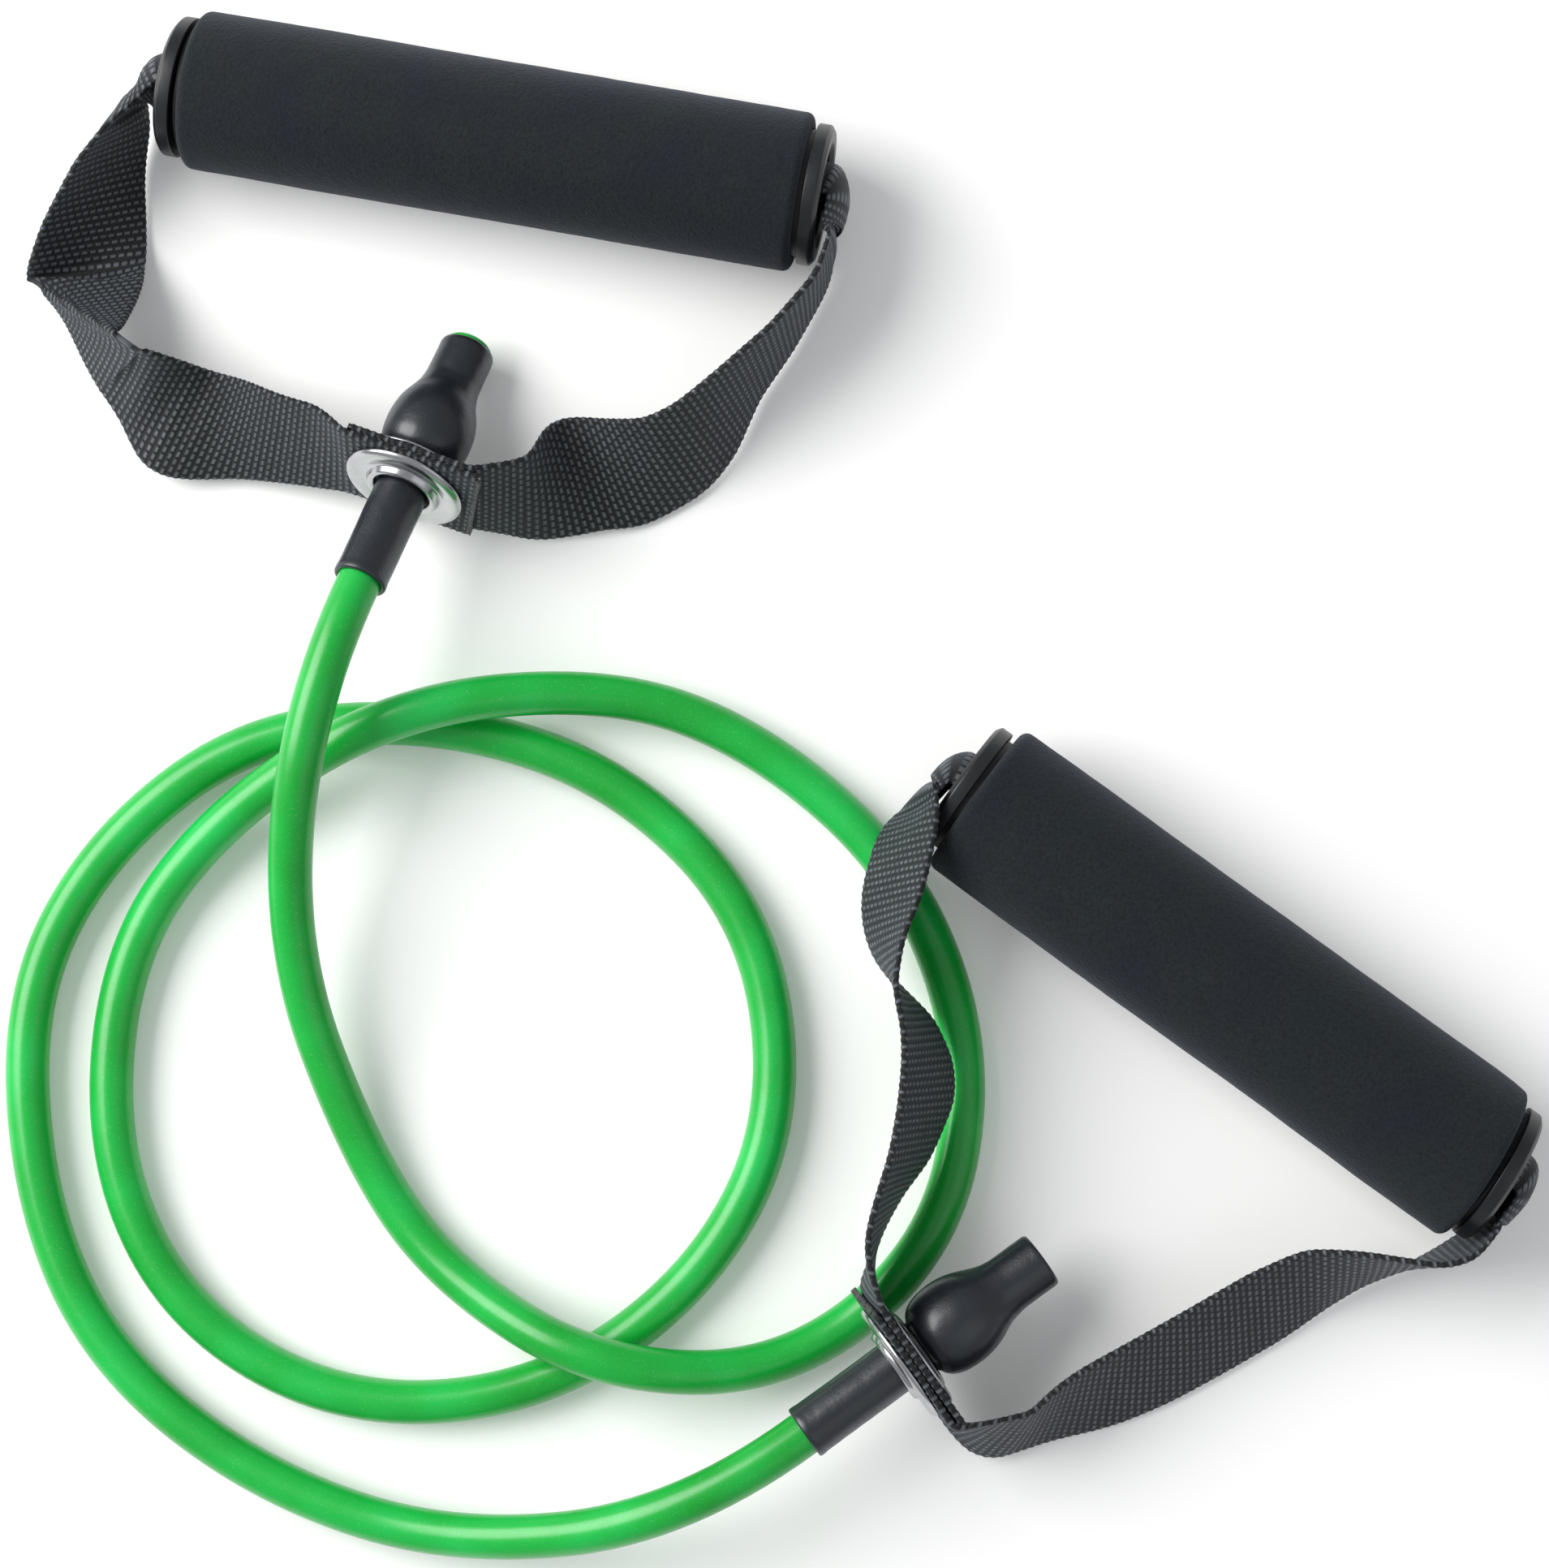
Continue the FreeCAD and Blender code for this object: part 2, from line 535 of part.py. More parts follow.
def lap_station(centre, axis, along_dir, width_dir, s, layer, top_first=True, skew=0.0):
    c = vec(centre) + vec(along_dir) * s + vec(axis) * (layer * size("lap_offset"))
    half = vec(width_dir) * (size("web_width") / 2) + vec(along_dir) * skew
    return (c + half, c - half) if top_first else (c - half, c + half)


def pairs(table):
    return [(vec(p), vec(q)) for p, q in table]


def core_stations(grip, axis, first_up, long):
    """The curled webbing where it enters and leaves the grip, just outside each cap."""
    reach = size(long) / 2 + size("cap_gap") + size("cap_thick")
    side = Vector(-axis[1], axis[0], 0)
    if side.y < 0:
        side = side * -1
    ang = size("web_width") / 2 / size("web_curl")
    out = []
    for s in (-reach, reach):
        c = vec(grip) + vec(axis) * s + side * (size("web_curl") * math.cos(ang) - size("web_drop"))
        up = Vector(0, 0, size("web_curl") * math.sin(ang))
        out.append((c + up, c - up) if first_up else (c - up, c + up))
    return out


webs = []
# handle A: front layer at the grommet, left leg, core, right leg, back layer; the loop carries half a twist
left, right = pairs(LEG_A_LEFT), pairs(LEG_A_RIGHT)
st = [lap_station(GROMMET_A, SLEEVE_AXIS_A, LAP_A, LAP_WIDTH_A, -size("lap_end") - 1.0, -1, True, -size("lap_skew"))]
st += left + core_stations(GRIP_A, GRIP_AXIS_A, False, "foam_length_a")
st += [(q, p) for p, q in reversed(right)]
st += [lap_station(GROMMET_A, SLEEVE_AXIS_A, LAP_A, LAP_WIDTH_A, size("lap_end_back"), 1, False)]
webs.append(("a", st, 1, GROMMET_A, SLEEVE_AXIS_A))
# handle B: back layer, left leg, core, right leg, front layer
left, right = pairs(LEG_B_LEFT), pairs(LEG_B_RIGHT)
st = [lap_station(GROMMET_B, SLEEVE_AXIS_B, LAP_B, LAP_WIDTH_B, -size("lap_end"), 1)]
st += left + core_stations(GRIP_B, GRIP_AXIS_B, True, "foam_length_b")
st += [(p, q) for p, q in reversed(right)]
st += [lap_station(GROMMET_B, SLEEVE_AXIS_B, LAP_B, LAP_WIDTH_B, size("lap_end"), -1)]
webs.append(("b", st, -1, GROMMET_B, SLEEVE_AXIS_B))

for h, st, bulge, centre, axis in webs:
    solid = strap(st, bulge)
    a = vec(axis).normalize()
    hole = Part.makeCylinder(size("eye_barrel") / 2 + 0.1, 8.0, vec(centre) - a * 4.0, a)
    cut = solid.cut(hole)
    length = 0.0
    for k in range(len(st) - 1):
        length += (((st[k + 1][0] + st[k + 1][1]) - (st[k][0] + st[k][1])) * 0.5).Length
    print("strap_%s: length %.1f mm, volume %.1f, section x length %.1f, solids %d, faces %d" % (
        h, length, cut.Volume, length * size("web_width") * size("web_thick"), len(cut.Solids), len(cut.Faces)))
    f = doc.addObject("Part::Feature", "webbing_strap_" + h)
    f.Label = "webbing_strap_" + h
    f.Shape = cut.Solids[0] if len(cut.Solids) == 1 else cut
    f.Placement = Placement()
    NODES.append(f)

# ---------------------------------------------------------------- elastic tube
def rounded(points):
    """Straight runs joined by tangent arcs, each as large as its runs allow."""
    edges, radii = [], []
    pts = [vec(p) for p in points]
    here = pts[0]
    for k in range(1, len(pts) - 1):
        a, b, c = pts[k - 1], pts[k], pts[k + 1]
        u, w = (b - a), (c - b)
        lu, lw = u.Length, w.Length
        u.normalize()
        w.normalize()
        turn = math.acos(max(-1.0, min(1.0, u.dot(w))))
        cutback = 0.45 * min(lu, lw)
        radius = cutback / math.tan(turn / 2)
        radii.append(radius)
        p, q = b - u * cutback, b + w * cutback
        inward = (w - u).normalize()
        centre = b + inward * (radius / math.cos(turn / 2))
        mid = centre - inward * radius
        edges.append(Part.LineSegment(here, p).toShape())
        edges.append(Part.Arc(p, mid, q).toShape())
        here = q
    edges.append(Part.LineSegment(here, pts[-1]).toShape())
    return Part.Wire(edges), radii


route, radii = rounded(TUBE_ROUTE)
start = vec(TUBE_ROUTE[0])
direction = (vec(TUBE_ROUTE[1]) - start).normalize()
ring = Part.Wire([Part.Circle(start, direction, size("tube_dia") / 2).toShape()])
tube = route.makePipeShell([ring], True, False, 0)
tube_volume = math.pi * (size("tube_dia") / 2) ** 2 * route.Length
print("elastic_tube: length %.1f mm, volume %.1f, section x length %.1f" % (route.Length, tube.Volume, tube_volume))
print("radii, mm:", " ".join("%.0f" % r for r in radii))
if abs(tube.Volume / tube_volume - 1) > 0.01:
    raise RuntimeError("tube volume")
f = doc.addObject("Part::Feature", "elastic_tube")
f.Label = "elastic_tube"
f.Shape = tube
f.Placement = Placement()
NODES.append(f)

# ---------------------------------------------------------------- checks and export
doc.recompute()
bad = []
for obj in doc.Objects:
    if any(word in str(s) for s in obj.State for word in ("Invalid", "Error")):
        bad.append("%s: %s" % (obj.Label, obj.State))
for node in NODES:
    s = node.Shape
    if s.isNull() or not s.isValid() or s.Volume <= 0 or len(s.Solids) != 1:
        bad.append("%s: null %s, valid %s, solids %s" % (node.Label, s.isNull(), s.isNull() or s.isValid(), len(s.Solids)))
if bad:
    print("\n".join(bad))
    raise RuntimeError("sub-parts failed")

os.makedirs("parts", exist_ok=True)
for node in NODES:
    node.Shape.exportStep("parts/%s.step" % node.Label)
    b = node.Shape.BoundBox
    print("%-20s %9.1f mm3  x %.1f..%.1f  y %.1f..%.1f  z %.1f..%.1f" % (
        node.Label, node.Shape.Volume, b.XMin, b.XMax, b.YMin, b.YMax, b.ZMin, b.ZMax))
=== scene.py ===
import math

import bmesh
import bpy
import numpy as np
from mathutils import Matrix, Vector, noise


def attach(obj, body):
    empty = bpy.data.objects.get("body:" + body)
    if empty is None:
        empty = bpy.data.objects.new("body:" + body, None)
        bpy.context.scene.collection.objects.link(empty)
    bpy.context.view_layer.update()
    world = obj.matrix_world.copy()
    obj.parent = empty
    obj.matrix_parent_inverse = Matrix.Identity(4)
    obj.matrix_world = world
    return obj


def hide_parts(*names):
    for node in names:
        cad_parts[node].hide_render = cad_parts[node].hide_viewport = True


# Resistance band: elastic tube with a foam-grip handle on each end. Millimetres in the tables, metres in Blender.
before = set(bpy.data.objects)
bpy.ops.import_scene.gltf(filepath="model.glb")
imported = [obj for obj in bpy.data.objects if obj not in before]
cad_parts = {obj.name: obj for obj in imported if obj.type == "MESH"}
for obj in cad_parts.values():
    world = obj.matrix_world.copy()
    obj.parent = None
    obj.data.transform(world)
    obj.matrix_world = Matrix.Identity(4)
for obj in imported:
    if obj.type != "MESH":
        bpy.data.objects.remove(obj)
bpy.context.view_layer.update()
MM = 0.001
scene = bpy.context.scene

# ------------------------------------------------------------------ camera
CAM_POS = (0.042566, -0.057343, 0.707336)
CAM_X = (0.998291, 0.000000, -0.058441)
CAM_Y = (0.003785, 0.997900, 0.064659)
CAM_Z = (0.058319, -0.064769, 0.996195)
cam_data = bpy.data.cameras.new("camera")
cam_data.sensor_width = 36.0
cam_data.lens = 4200.0 * 36.0 / 1932.0
cam_data.clip_start = 0.01
cam_data.clip_end = 20.0
cam = bpy.data.objects.new("camera", cam_data)
scene.collection.objects.link(cam)
cam.matrix_world = Matrix((
    (CAM_X[0], CAM_Y[0], CAM_Z[0], CAM_POS[0]),
    (CAM_X[1], CAM_Y[1], CAM_Z[1], CAM_POS[1]),
    (CAM_X[2], CAM_Y[2], CAM_Z[2], CAM_POS[2]),
    (0, 0, 0, 1)))
scene.camera = cam

# ------------------------------------------------------------------ layout
GROMMET_A = (-73.3512, 50.5711, 18.2000)
SLEEVE_AXIS_A = (0.3153, 0.8719, -0.3746)
LAP_A = (-0.9404, 0.3401, -0.0000)
LAP_WIDTH_A = (0.1274, 0.3523, 0.9272)
GROMMET_B = (29.0315, -127.5358, 19.8000)
SLEEVE_AXIS_B = (0.8066, 0.5818, -0.1045)
LAP_B = (-0.5509, 0.8040, 0.2237)
LAP_WIDTH_B = (0.2142, -0.1229, 0.9690)
GRIP_A = (-55.2333, 121.1707, 16.5000)
GRIP_AXIS_A = (0.9831, -0.1833, 0.0000)
GRIP_B = (94.1088, -52.5232, 16.9500)
GRIP_AXIS_B = (0.8071, -0.5905, 0.0000)
# tube route from part.py, in metres
TUBE_ROUTE = [
    (-0.08142, 0.02825, 0.02779),
    (-0.09082, 0.00225, 0.03896),
    (-0.09879, -0.04559, 0.01557),
    (-0.08427, -0.08834, 0.00454),
    (-0.06689, -0.11282, 0.00455),
    (-0.03335, -0.13096, 0.01887),
    (0.00475, -0.13240, 0.00455),
    (0.03601, -0.10602, 0.00454),
    (0.04240, -0.06686, 0.00458),
    (0.02867, -0.02964, 0.00456),
    (-0.00139, -0.00278, 0.00454),
    (-0.03267, 0.00866, 0.00793),
    (-0.07591, 0.00367, 0.01990),
    (-0.11473, -0.01831, 0.00635),
    (-0.13529, -0.04648, 0.00454),
    (-0.13807, -0.08883, 0.00456),
    (-0.12114, -0.12212, 0.00457),
    (-0.08631, -0.14051, 0.00455),
    (-0.04496, -0.13644, 0.00467),
    (-0.01256, -0.11285, 0.00457),
    (0.00347, -0.08004, 0.00456),
    (-0.00194, -0.03922, 0.00457),
    (-0.03032, -0.01024, 0.00456),
    (-0.06732, 0.00220, 0.00467),
    (-0.10745, 0.00025, 0.00456),
    (-0.13903, -0.02315, 0.00457),
    (-0.15586, -0.05505, 0.00457),
    (-0.15301, -0.09749, 0.00457),
    (-0.13757, -0.13047, 0.00455),
    (-0.10489, -0.15506, 0.00533),
    (-0.06451, -0.16749, 0.00758),
    (-0.01529, -0.15950, 0.02554),
    (0.00838, -0.14243, 0.02248),
]
TUBE_DIA = 9.0
# handle A, grommet to left cap: the tape's two edges, mm
LEG_A_LEFT = [
    ((-84.71, 58.85, 30.10), (-87.90, 50.04, 6.92), 0.00),
    ((-88.06, 61.98, 27.94), (-92.75, 50.82, 6.07), 0.00),
    ((-91.75, 64.67, 25.84), (-97.60, 51.71, 5.27), 0.00),
    ((-96.07, 66.23, 24.06), (-102.48, 52.42, 4.24), 0.00),
    ((-100.23, 67.94, 22.14), (-107.42, 53.07, 3.37), 0.00),
    ((-104.08, 69.75, 19.81), (-112.45, 53.50, 2.77), 0.00),
    ((-107.47, 71.43, 16.80), (-117.53, 53.39, 2.76), 0.00),
    ((-110.87, 72.92, 13.66), (-122.50, 53.30, 3.46), 0.00),
    ((-115.15, 74.32, 12.27), (-127.39, 54.05, 4.19), 0.00),
    ((-118.89, 75.30, 14.88), (-131.74, 56.68, 4.23), 0.00),
    ((-121.42, 75.68, 18.96), (-134.51, 60.88, 3.68), 0.00),
    ((-124.46, 76.22, 22.66), (-136.67, 65.53, 3.66), 0.00),
    ((-126.93, 76.77, 24.41), (-139.37, 69.90, 4.11), 1.80),
    ((-127.16, 76.82, 24.58), (-142.26, 74.16, 4.26), 6.49),
    ((-127.39, 76.87, 24.74), (-145.03, 78.50, 4.34), 11.19),
    ((-127.63, 76.92, 24.91), (-147.65, 82.92, 4.40), 15.88),
    ((-127.86, 76.97, 25.07), (-150.36, 87.26, 4.60), 20.57),
    ((-128.09, 77.02, 25.23), (-153.42, 91.27, 5.05), 25.27),
    ((-128.32, 77.08, 25.40), (-156.85, 94.87, 5.69), 29.96),
    ((-128.97, 80.37, 21.77), (-156.77, 95.01, 5.95), 25.27),
    ((-129.64, 83.71, 18.24), (-156.68, 95.16, 6.20), 20.57),
    ((-130.29, 87.14, 14.79), (-156.60, 95.30, 6.46), 15.88),
    ((-130.91, 90.67, 11.41), (-156.51, 95.44, 6.71), 11.19),
    ((-131.50, 94.31, 8.12), (-156.43, 95.58, 6.97), 6.49),
    ((-132.04, 98.10, 4.98), (-156.34, 95.73, 7.22), 0.00),
    ((-132.26, 102.07, 2.05), (-155.44, 97.24, 9.95), 0.00),
    ((-132.63, 106.80, 1.00), (-153.28, 100.31, 13.46), 0.00),
    ((-132.84, 111.66, 0.99), (-151.01, 103.95, 16.33), 0.00),
    ((-133.11, 116.54, 0.99), (-148.36, 107.69, 18.70), 0.00),
    ((-133.46, 121.40, 1.00), (-145.57, 111.63, 20.56), 0.00),
    ((-133.61, 126.26, 1.42), (-142.73, 115.66, 22.14), 0.00),
    ((-133.46, 131.07, 2.30), (-139.67, 119.55, 23.60), 0.00),
    ((-134.36, 135.72, 3.55), (-136.56, 123.34, 25.15), 0.00),
    ((-130.79, 132.42, 3.78), (-132.43, 126.43, 25.36), 0.00),
    ((-126.99, 129.67, 5.24), (-128.26, 129.49, 25.13), 0.00),
    ((-124.31, 132.85, 7.80), (-124.31, 132.85, 25.20), 0.00),
]
# handle A, grommet to right cap
LEG_A_RIGHT = [
    ((-58.80, 51.10, 29.48), (-61.99, 42.29, 6.30)),
    ((-55.04, 51.75, 27.50), (-58.24, 41.78, 4.80)),
    ((-51.38, 52.62, 25.45), (-54.44, 41.21, 3.42)),
    ((-48.17, 54.01, 23.13), (-50.59, 40.46, 2.26)),
    ((-46.56, 56.79, 20.47), (-46.55, 40.34, 1.65)),
    ((-45.68, 59.70, 17.58), (-42.47, 40.73, 1.63)),
    ((-44.31, 62.13, 14.51), (-38.42, 41.27, 2.05)),
    ((-41.53, 63.83, 12.08), (-34.37, 41.94, 2.26)),
    ((-37.72, 63.98, 11.79), (-30.25, 42.37, 1.71)),
    ((-34.27, 63.36, 13.57), (-26.21, 43.21, 1.19)),
    ((-31.21, 62.75, 16.06), (-22.38, 44.86, 1.00)),
    ((-28.01, 62.23, 18.40), (-18.73, 46.88, 1.00)),
    ((-24.46, 62.16, 20.23), (-15.14, 49.03, 1.11)),
    ((-20.88, 63.29, 21.57), (-11.96, 51.72, 1.28)),
    ((-17.41, 64.97, 22.66), (-9.32, 54.93, 1.25)),
    ((-14.18, 67.23, 23.46), (-7.01, 58.38, 1.20)),
    ((-11.01, 69.61, 24.23), (-5.31, 62.14, 1.06)),
    ((-7.85, 72.07, 24.88), (-3.72, 65.96, 1.00)),
    ((-4.72, 74.62, 25.36), (-2.03, 69.72, 1.00)),
    ((-1.59, 77.20, 25.61), (0.18, 73.20, 1.00)),
    ((1.48, 79.87, 25.76), (2.47, 76.61, 1.00)),
    ((4.26, 82.86, 25.83), (4.72, 80.04, 1.00)),
    ((6.93, 85.95, 25.88), (6.78, 83.59, 1.00)),
    ((9.58, 89.07, 25.91), (8.81, 87.16, 1.00)),
    ((11.88, 92.45, 25.96), (10.85, 90.71, 1.04)),
    ((13.38, 96.22, 26.18), (12.86, 94.25, 1.26)),
    ((15.86, 99.40, 26.54), (14.46, 97.94, 1.62)),
    ((12.00, 99.11, 26.59), (12.16, 99.99, 4.15)),
    ((12.68, 103.05, 26.64), (12.69, 103.01, 6.72)),
    ((13.41, 107.17, 25.20), (13.41, 107.17, 7.80)),
]
# handle B, grommet to left cap
LEG_B_LEFT = [
    ((24.93, -117.74, 34.85), (19.58, -114.67, 10.62)),
    ((23.46, -113.80, 35.01), (20.82, -110.67, 10.35)),
    ((22.22, -109.78, 35.08), (22.16, -106.68, 10.27)),
    ((21.58, -105.64, 35.00), (23.73, -102.77, 10.26)),
    ((21.92, -101.48, 34.84), (25.67, -99.03, 10.25)),
    ((22.92, -97.43, 34.67), (27.81, -95.39, 10.24)),
    ((24.05, -93.42, 34.37), (30.36, -92.02, 10.23)),
    ((25.26, -89.46, 34.01), (32.87, -88.62, 10.21)),
    ((26.29, -85.45, 33.71), (34.78, -84.83, 10.20)),
    ((27.05, -81.40, 33.41), (36.46, -80.91, 10.26)),
    ((27.73, -77.33, 33.22), (37.93, -76.91, 10.40)),
    ((28.21, -73.24, 33.30), (38.20, -72.64, 10.39)),
    ((28.61, -69.15, 33.62), (37.59, -68.40, 10.30)),
    ((28.69, -65.05, 34.07), (35.98, -64.42, 10.17)),
    ((28.38, -60.95, 34.49), (33.98, -60.62, 10.13)),
    ((27.57, -56.90, 34.86), (31.09, -57.43, 10.12)),
    ((27.02, -52.80, 35.03), (27.99, -54.43, 10.10)),
    ((27.56, -48.72, 34.84), (25.11, -51.22, 10.09)),
    ((28.40, -44.69, 34.37), (22.57, -47.75, 10.25)),
    ((29.81, -40.85, 33.74), (20.92, -43.81, 10.56)),
    ((31.41, -37.08, 33.12), (20.06, -39.63, 10.99)),
    ((32.64, -33.14, 32.83), (19.96, -35.38, 11.40)),
    ((33.66, -29.12, 32.92), (20.65, -31.18, 11.67)),
    ((34.51, -25.04, 33.24), (21.81, -27.10, 11.80)),
    ((35.16, -20.91, 33.45), (23.05, -23.05, 11.68)),
    ((35.49, -16.65, 33.01), (24.33, -19.08, 10.76)),
    ((33.84, -12.68, 32.85), (26.03, -15.48, 9.26)),
    ((32.02, -15.59, 30.79), (30.32, -15.71, 8.39)),
    ((35.16, -15.68, 28.07), (34.69, -16.31, 8.18)),
    ((37.52, -12.59, 25.65), (37.52, -12.59, 8.25)),
]
# handle B, grommet to right cap
LEG_B_RIGHT = [
    ((38.49, -140.40, 28.98), (33.13, -137.33, 4.75)),
    ((42.39, -139.87, 28.20), (35.58, -141.14, 4.19)),
    ((46.17, -139.27, 26.99), (38.32, -144.77, 3.90)),
    ((49.81, -138.57, 25.48), (41.67, -147.81, 3.72)),
    ((53.47, -137.78, 24.17), (46.00, -148.97, 3.10)),
    ((56.24, -135.33, 22.83), (50.30, -148.03, 2.14)),
    ((59.13, -132.86, 21.71), (54.56, -146.71, 1.41)),
    ((62.28, -130.61, 20.84), (58.88, -145.47, 1.03)),
    ((65.64, -128.58, 20.19), (63.26, -144.41, 1.00)),
    ((69.13, -126.73, 19.63), (67.62, -143.33, 1.00)),
    ((72.64, -124.87, 19.21), (71.90, -141.97, 1.00)),
    ((76.16, -122.97, 18.96), (76.06, -140.34, 1.00)),
    ((79.70, -121.05, 18.78), (80.17, -138.62, 1.00)),
    ((83.21, -119.07, 18.69), (84.17, -136.70, 1.00)),
    ((86.72, -117.04, 18.70), (88.08, -134.63, 1.00)),
    ((90.24, -114.99, 18.72), (91.97, -132.53, 1.00)),
    ((93.77, -112.94, 18.79), (95.80, -130.37, 1.00)),
    ((97.36, -110.97, 19.02), (99.58, -128.16, 1.00)),
    ((101.08, -109.26, 19.48), (103.34, -125.93, 1.00)),
    ((104.82, -107.62, 20.10), (107.02, -123.60, 1.00)),
    ((108.62, -106.32, 21.09), (110.57, -121.11, 1.02)),
    ((112.54, -106.11, 22.55), (114.14, -118.66, 1.00)),
    ((116.55, -106.22, 23.81), (117.80, -116.37, 1.00)),
    ((120.65, -106.52, 24.77), (121.53, -114.20, 1.00)),
    ((124.79, -107.13, 25.40), (125.51, -112.50, 1.00)),
    ((128.96, -107.78, 25.80), (129.51, -110.88, 1.00)),
    ((133.15, -108.32, 25.99), (133.33, -108.87, 1.00)),
    ((137.36, -108.00, 25.96), (137.08, -106.71, 1.00)),
    ((141.29, -106.51, 25.89), (140.70, -104.36, 1.00)),
    ((144.42, -103.66, 25.93), (144.26, -101.87, 1.00)),
    ((147.55, -100.86, 25.96), (147.73, -99.43, 1.00)),
    ((143.76, -102.10, 25.10), (144.46, -101.05, 2.68)),
    ((146.17, -98.68, 24.58), (146.65, -97.99, 4.70)),
    ((149.22, -94.31, 25.65), (149.22, -94.31, 8.25)),
]


# ------------------------------------------------------------------ node helpers
def new_material(name):
    m = bpy.data.materials.new(name)
    m.use_nodes = True
    nt = m.node_tree
    return m, nt, nt.nodes["Principled BSDF"]


def node(nt, kind, ins=None, **props):
    n = nt.nodes.new(kind)
    for k, v in props.items():
        setattr(n, k, v)
    for k, v in (ins or {}).items():
        if isinstance(v, bpy.types.NodeSocket):
            nt.links.new(v, n.inputs[k])
        else:
            n.inputs[k].default_value = v
    return n


def math_node(nt, op, a, b=0.0, c=None):
    n = nt.nodes.new("ShaderNodeMath")
    n.operation = op
    for i, v in enumerate((a, b) if c is None else (a, b, c)):
        if isinstance(v, bpy.types.NodeSocket):
            nt.links.new(v, n.inputs[i])
        else:
            n.inputs[i].default_value = v
    return n.outputs[0]


def place(nt):
    return node(nt, "ShaderNodeTexCoord").outputs["Object"]


def grain(nt, vec, scale, detail=3.0, rough=0.55, stretch=None):
    if stretch is not None:
        vec = node(nt, "ShaderNodeMapping", {"Vector": vec, "Scale": stretch}).outputs["Vector"]
    return node(nt, "ShaderNodeTexNoise", {"Vector": vec, "Scale": scale, "Detail": detail, "Roughness": rough}).outputs["Fac"]


def ramp(nt, fac, stops):
    n = nt.nodes.new("ShaderNodeValToRGB")
    nt.links.new(fac, n.inputs["Fac"])
    els = n.color_ramp.elements
    while len(els) < len(stops):
        els.new(0.5)
    for e, (p, c) in zip(els, stops):
        e.position = p
        e.color = (*c, 1.0) if len(c) == 3 else c
    return n.outputs["Color"]


def span(nt, fac, lo, hi, a=0.25, b=0.75):
    return node(nt, "ShaderNodeMapRange", {"Value": fac, "From Min": a, "From Max": b, "To Min": lo, "To Max": hi}).outputs["Result"]


def mix(nt, fac, a, b, kind="MIX"):
    n = nt.nodes.new("ShaderNodeMix")
    n.data_type = "RGBA"
    n.blend_type = kind
    sock = [s for s in n.inputs if s.enabled or True]
    put = {"Factor": 0, "A": 6, "B": 7}
    for key, v in (("Factor", fac), ("A", a), ("B", b)):
        s = n.inputs[put[key]]
        if isinstance(v, bpy.types.NodeSocket):
            nt.links.new(v, s)
        else:
            s.default_value = (*v, 1.0) if key != "Factor" and len(v) == 3 else v
    return n.outputs[2]


def bump(nt, height, strength, distance, normal=None):
    ins = {"Height": height, "Strength": strength, "Distance": distance}
    if normal is not None:
        ins["Normal"] = normal
    return node(nt, "ShaderNodeBump", ins).outputs["Normal"]


# ------------------------------------------------------------------ materials
def make_tube():
    m, nt, b = new_material("tube_rubber")
    p = place(nt)
    big = grain(nt, p, 38.0, 2.0)
    fine = grain(nt, p, 900.0, 2.0)
    specks = grain(nt, p, 2600.0, 1.0, 0.4)
    col = ramp(nt, big, [(0.30, (0.004, 0.330, 0.028)), (0.52, (0.005, 0.420, 0.050)), (0.72, (0.008, 0.500, 0.085))])
    dust = ramp(nt, specks, [(0.66, (0, 0, 0)), (0.74, (1, 1, 1))])
    col = mix(nt, math_node(nt, "MULTIPLY", dust, 0.10), col, (0.55, 0.80, 0.50))
    nt.links.new(col, b.inputs["Base Color"])
    nt.links.new(span(nt, fine, 0.30, 0.42), b.inputs["Roughness"])
    nt.links.new(bump(nt, fine, 0.10, 0.00018), b.inputs["Normal"])
    b.inputs["Subsurface Weight"].default_value = 0.12
    b.inputs["Subsurface Radius"].default_value = (0.25, 1.0, 0.35)
    b.inputs["Subsurface Scale"].default_value = 0.0035
    b.inputs["IOR"].default_value = 1.50
    b.inputs["Specular IOR Level"].default_value = 0.30
    b.inputs["Coat Weight"].default_value = 0.45
    b.inputs["Coat Roughness"].default_value = 0.24
    return m


def make_foam():
    m, nt, b = new_material("foam")
    p = place(nt)
    mott = grain(nt, p, 55.0, 3.0)
    cells = node(nt, "ShaderNodeTexVoronoi", {"Vector": p, "Scale": 1500.0}).outputs["Distance"]
    fine = grain(nt, p, 1300.0, 3.0, 0.65)
    cool = ramp(nt, mott, [(0.32, (0.0100, 0.0130, 0.0190)), (0.52, (0.0115, 0.0155, 0.0180)), (0.70, (0.0100, 0.0165, 0.0165))])
    # painted shade: darker where the fine bump is low, in the pores, and a little lighter on the raised grain
    painted_pore_shade = ramp(nt, fine, [(0.30, (0.45, 0.45, 0.45)), (0.62, (1.15, 1.15, 1.15))])
    nt.links.new(mix(nt, 1.0, cool, painted_pore_shade, "MULTIPLY"), b.inputs["Base Color"])
    nt.links.new(span(nt, fine, 0.80, 0.97), b.inputs["Roughness"])
    h = math_node(nt, "ADD", fine, math_node(nt, "MULTIPLY", cells, 0.5))
    nt.links.new(bump(nt, h, 0.55, 0.00032), b.inputs["Normal"])
    b.inputs["Sheen Weight"].default_value = 0.10
    b.inputs["Sheen Roughness"].default_value = 0.55
    b.inputs["Sheen Tint"].default_value = (0.75, 0.82, 1.0, 1.0)
    b.inputs["Specular IOR Level"].default_value = 0.22
    return m


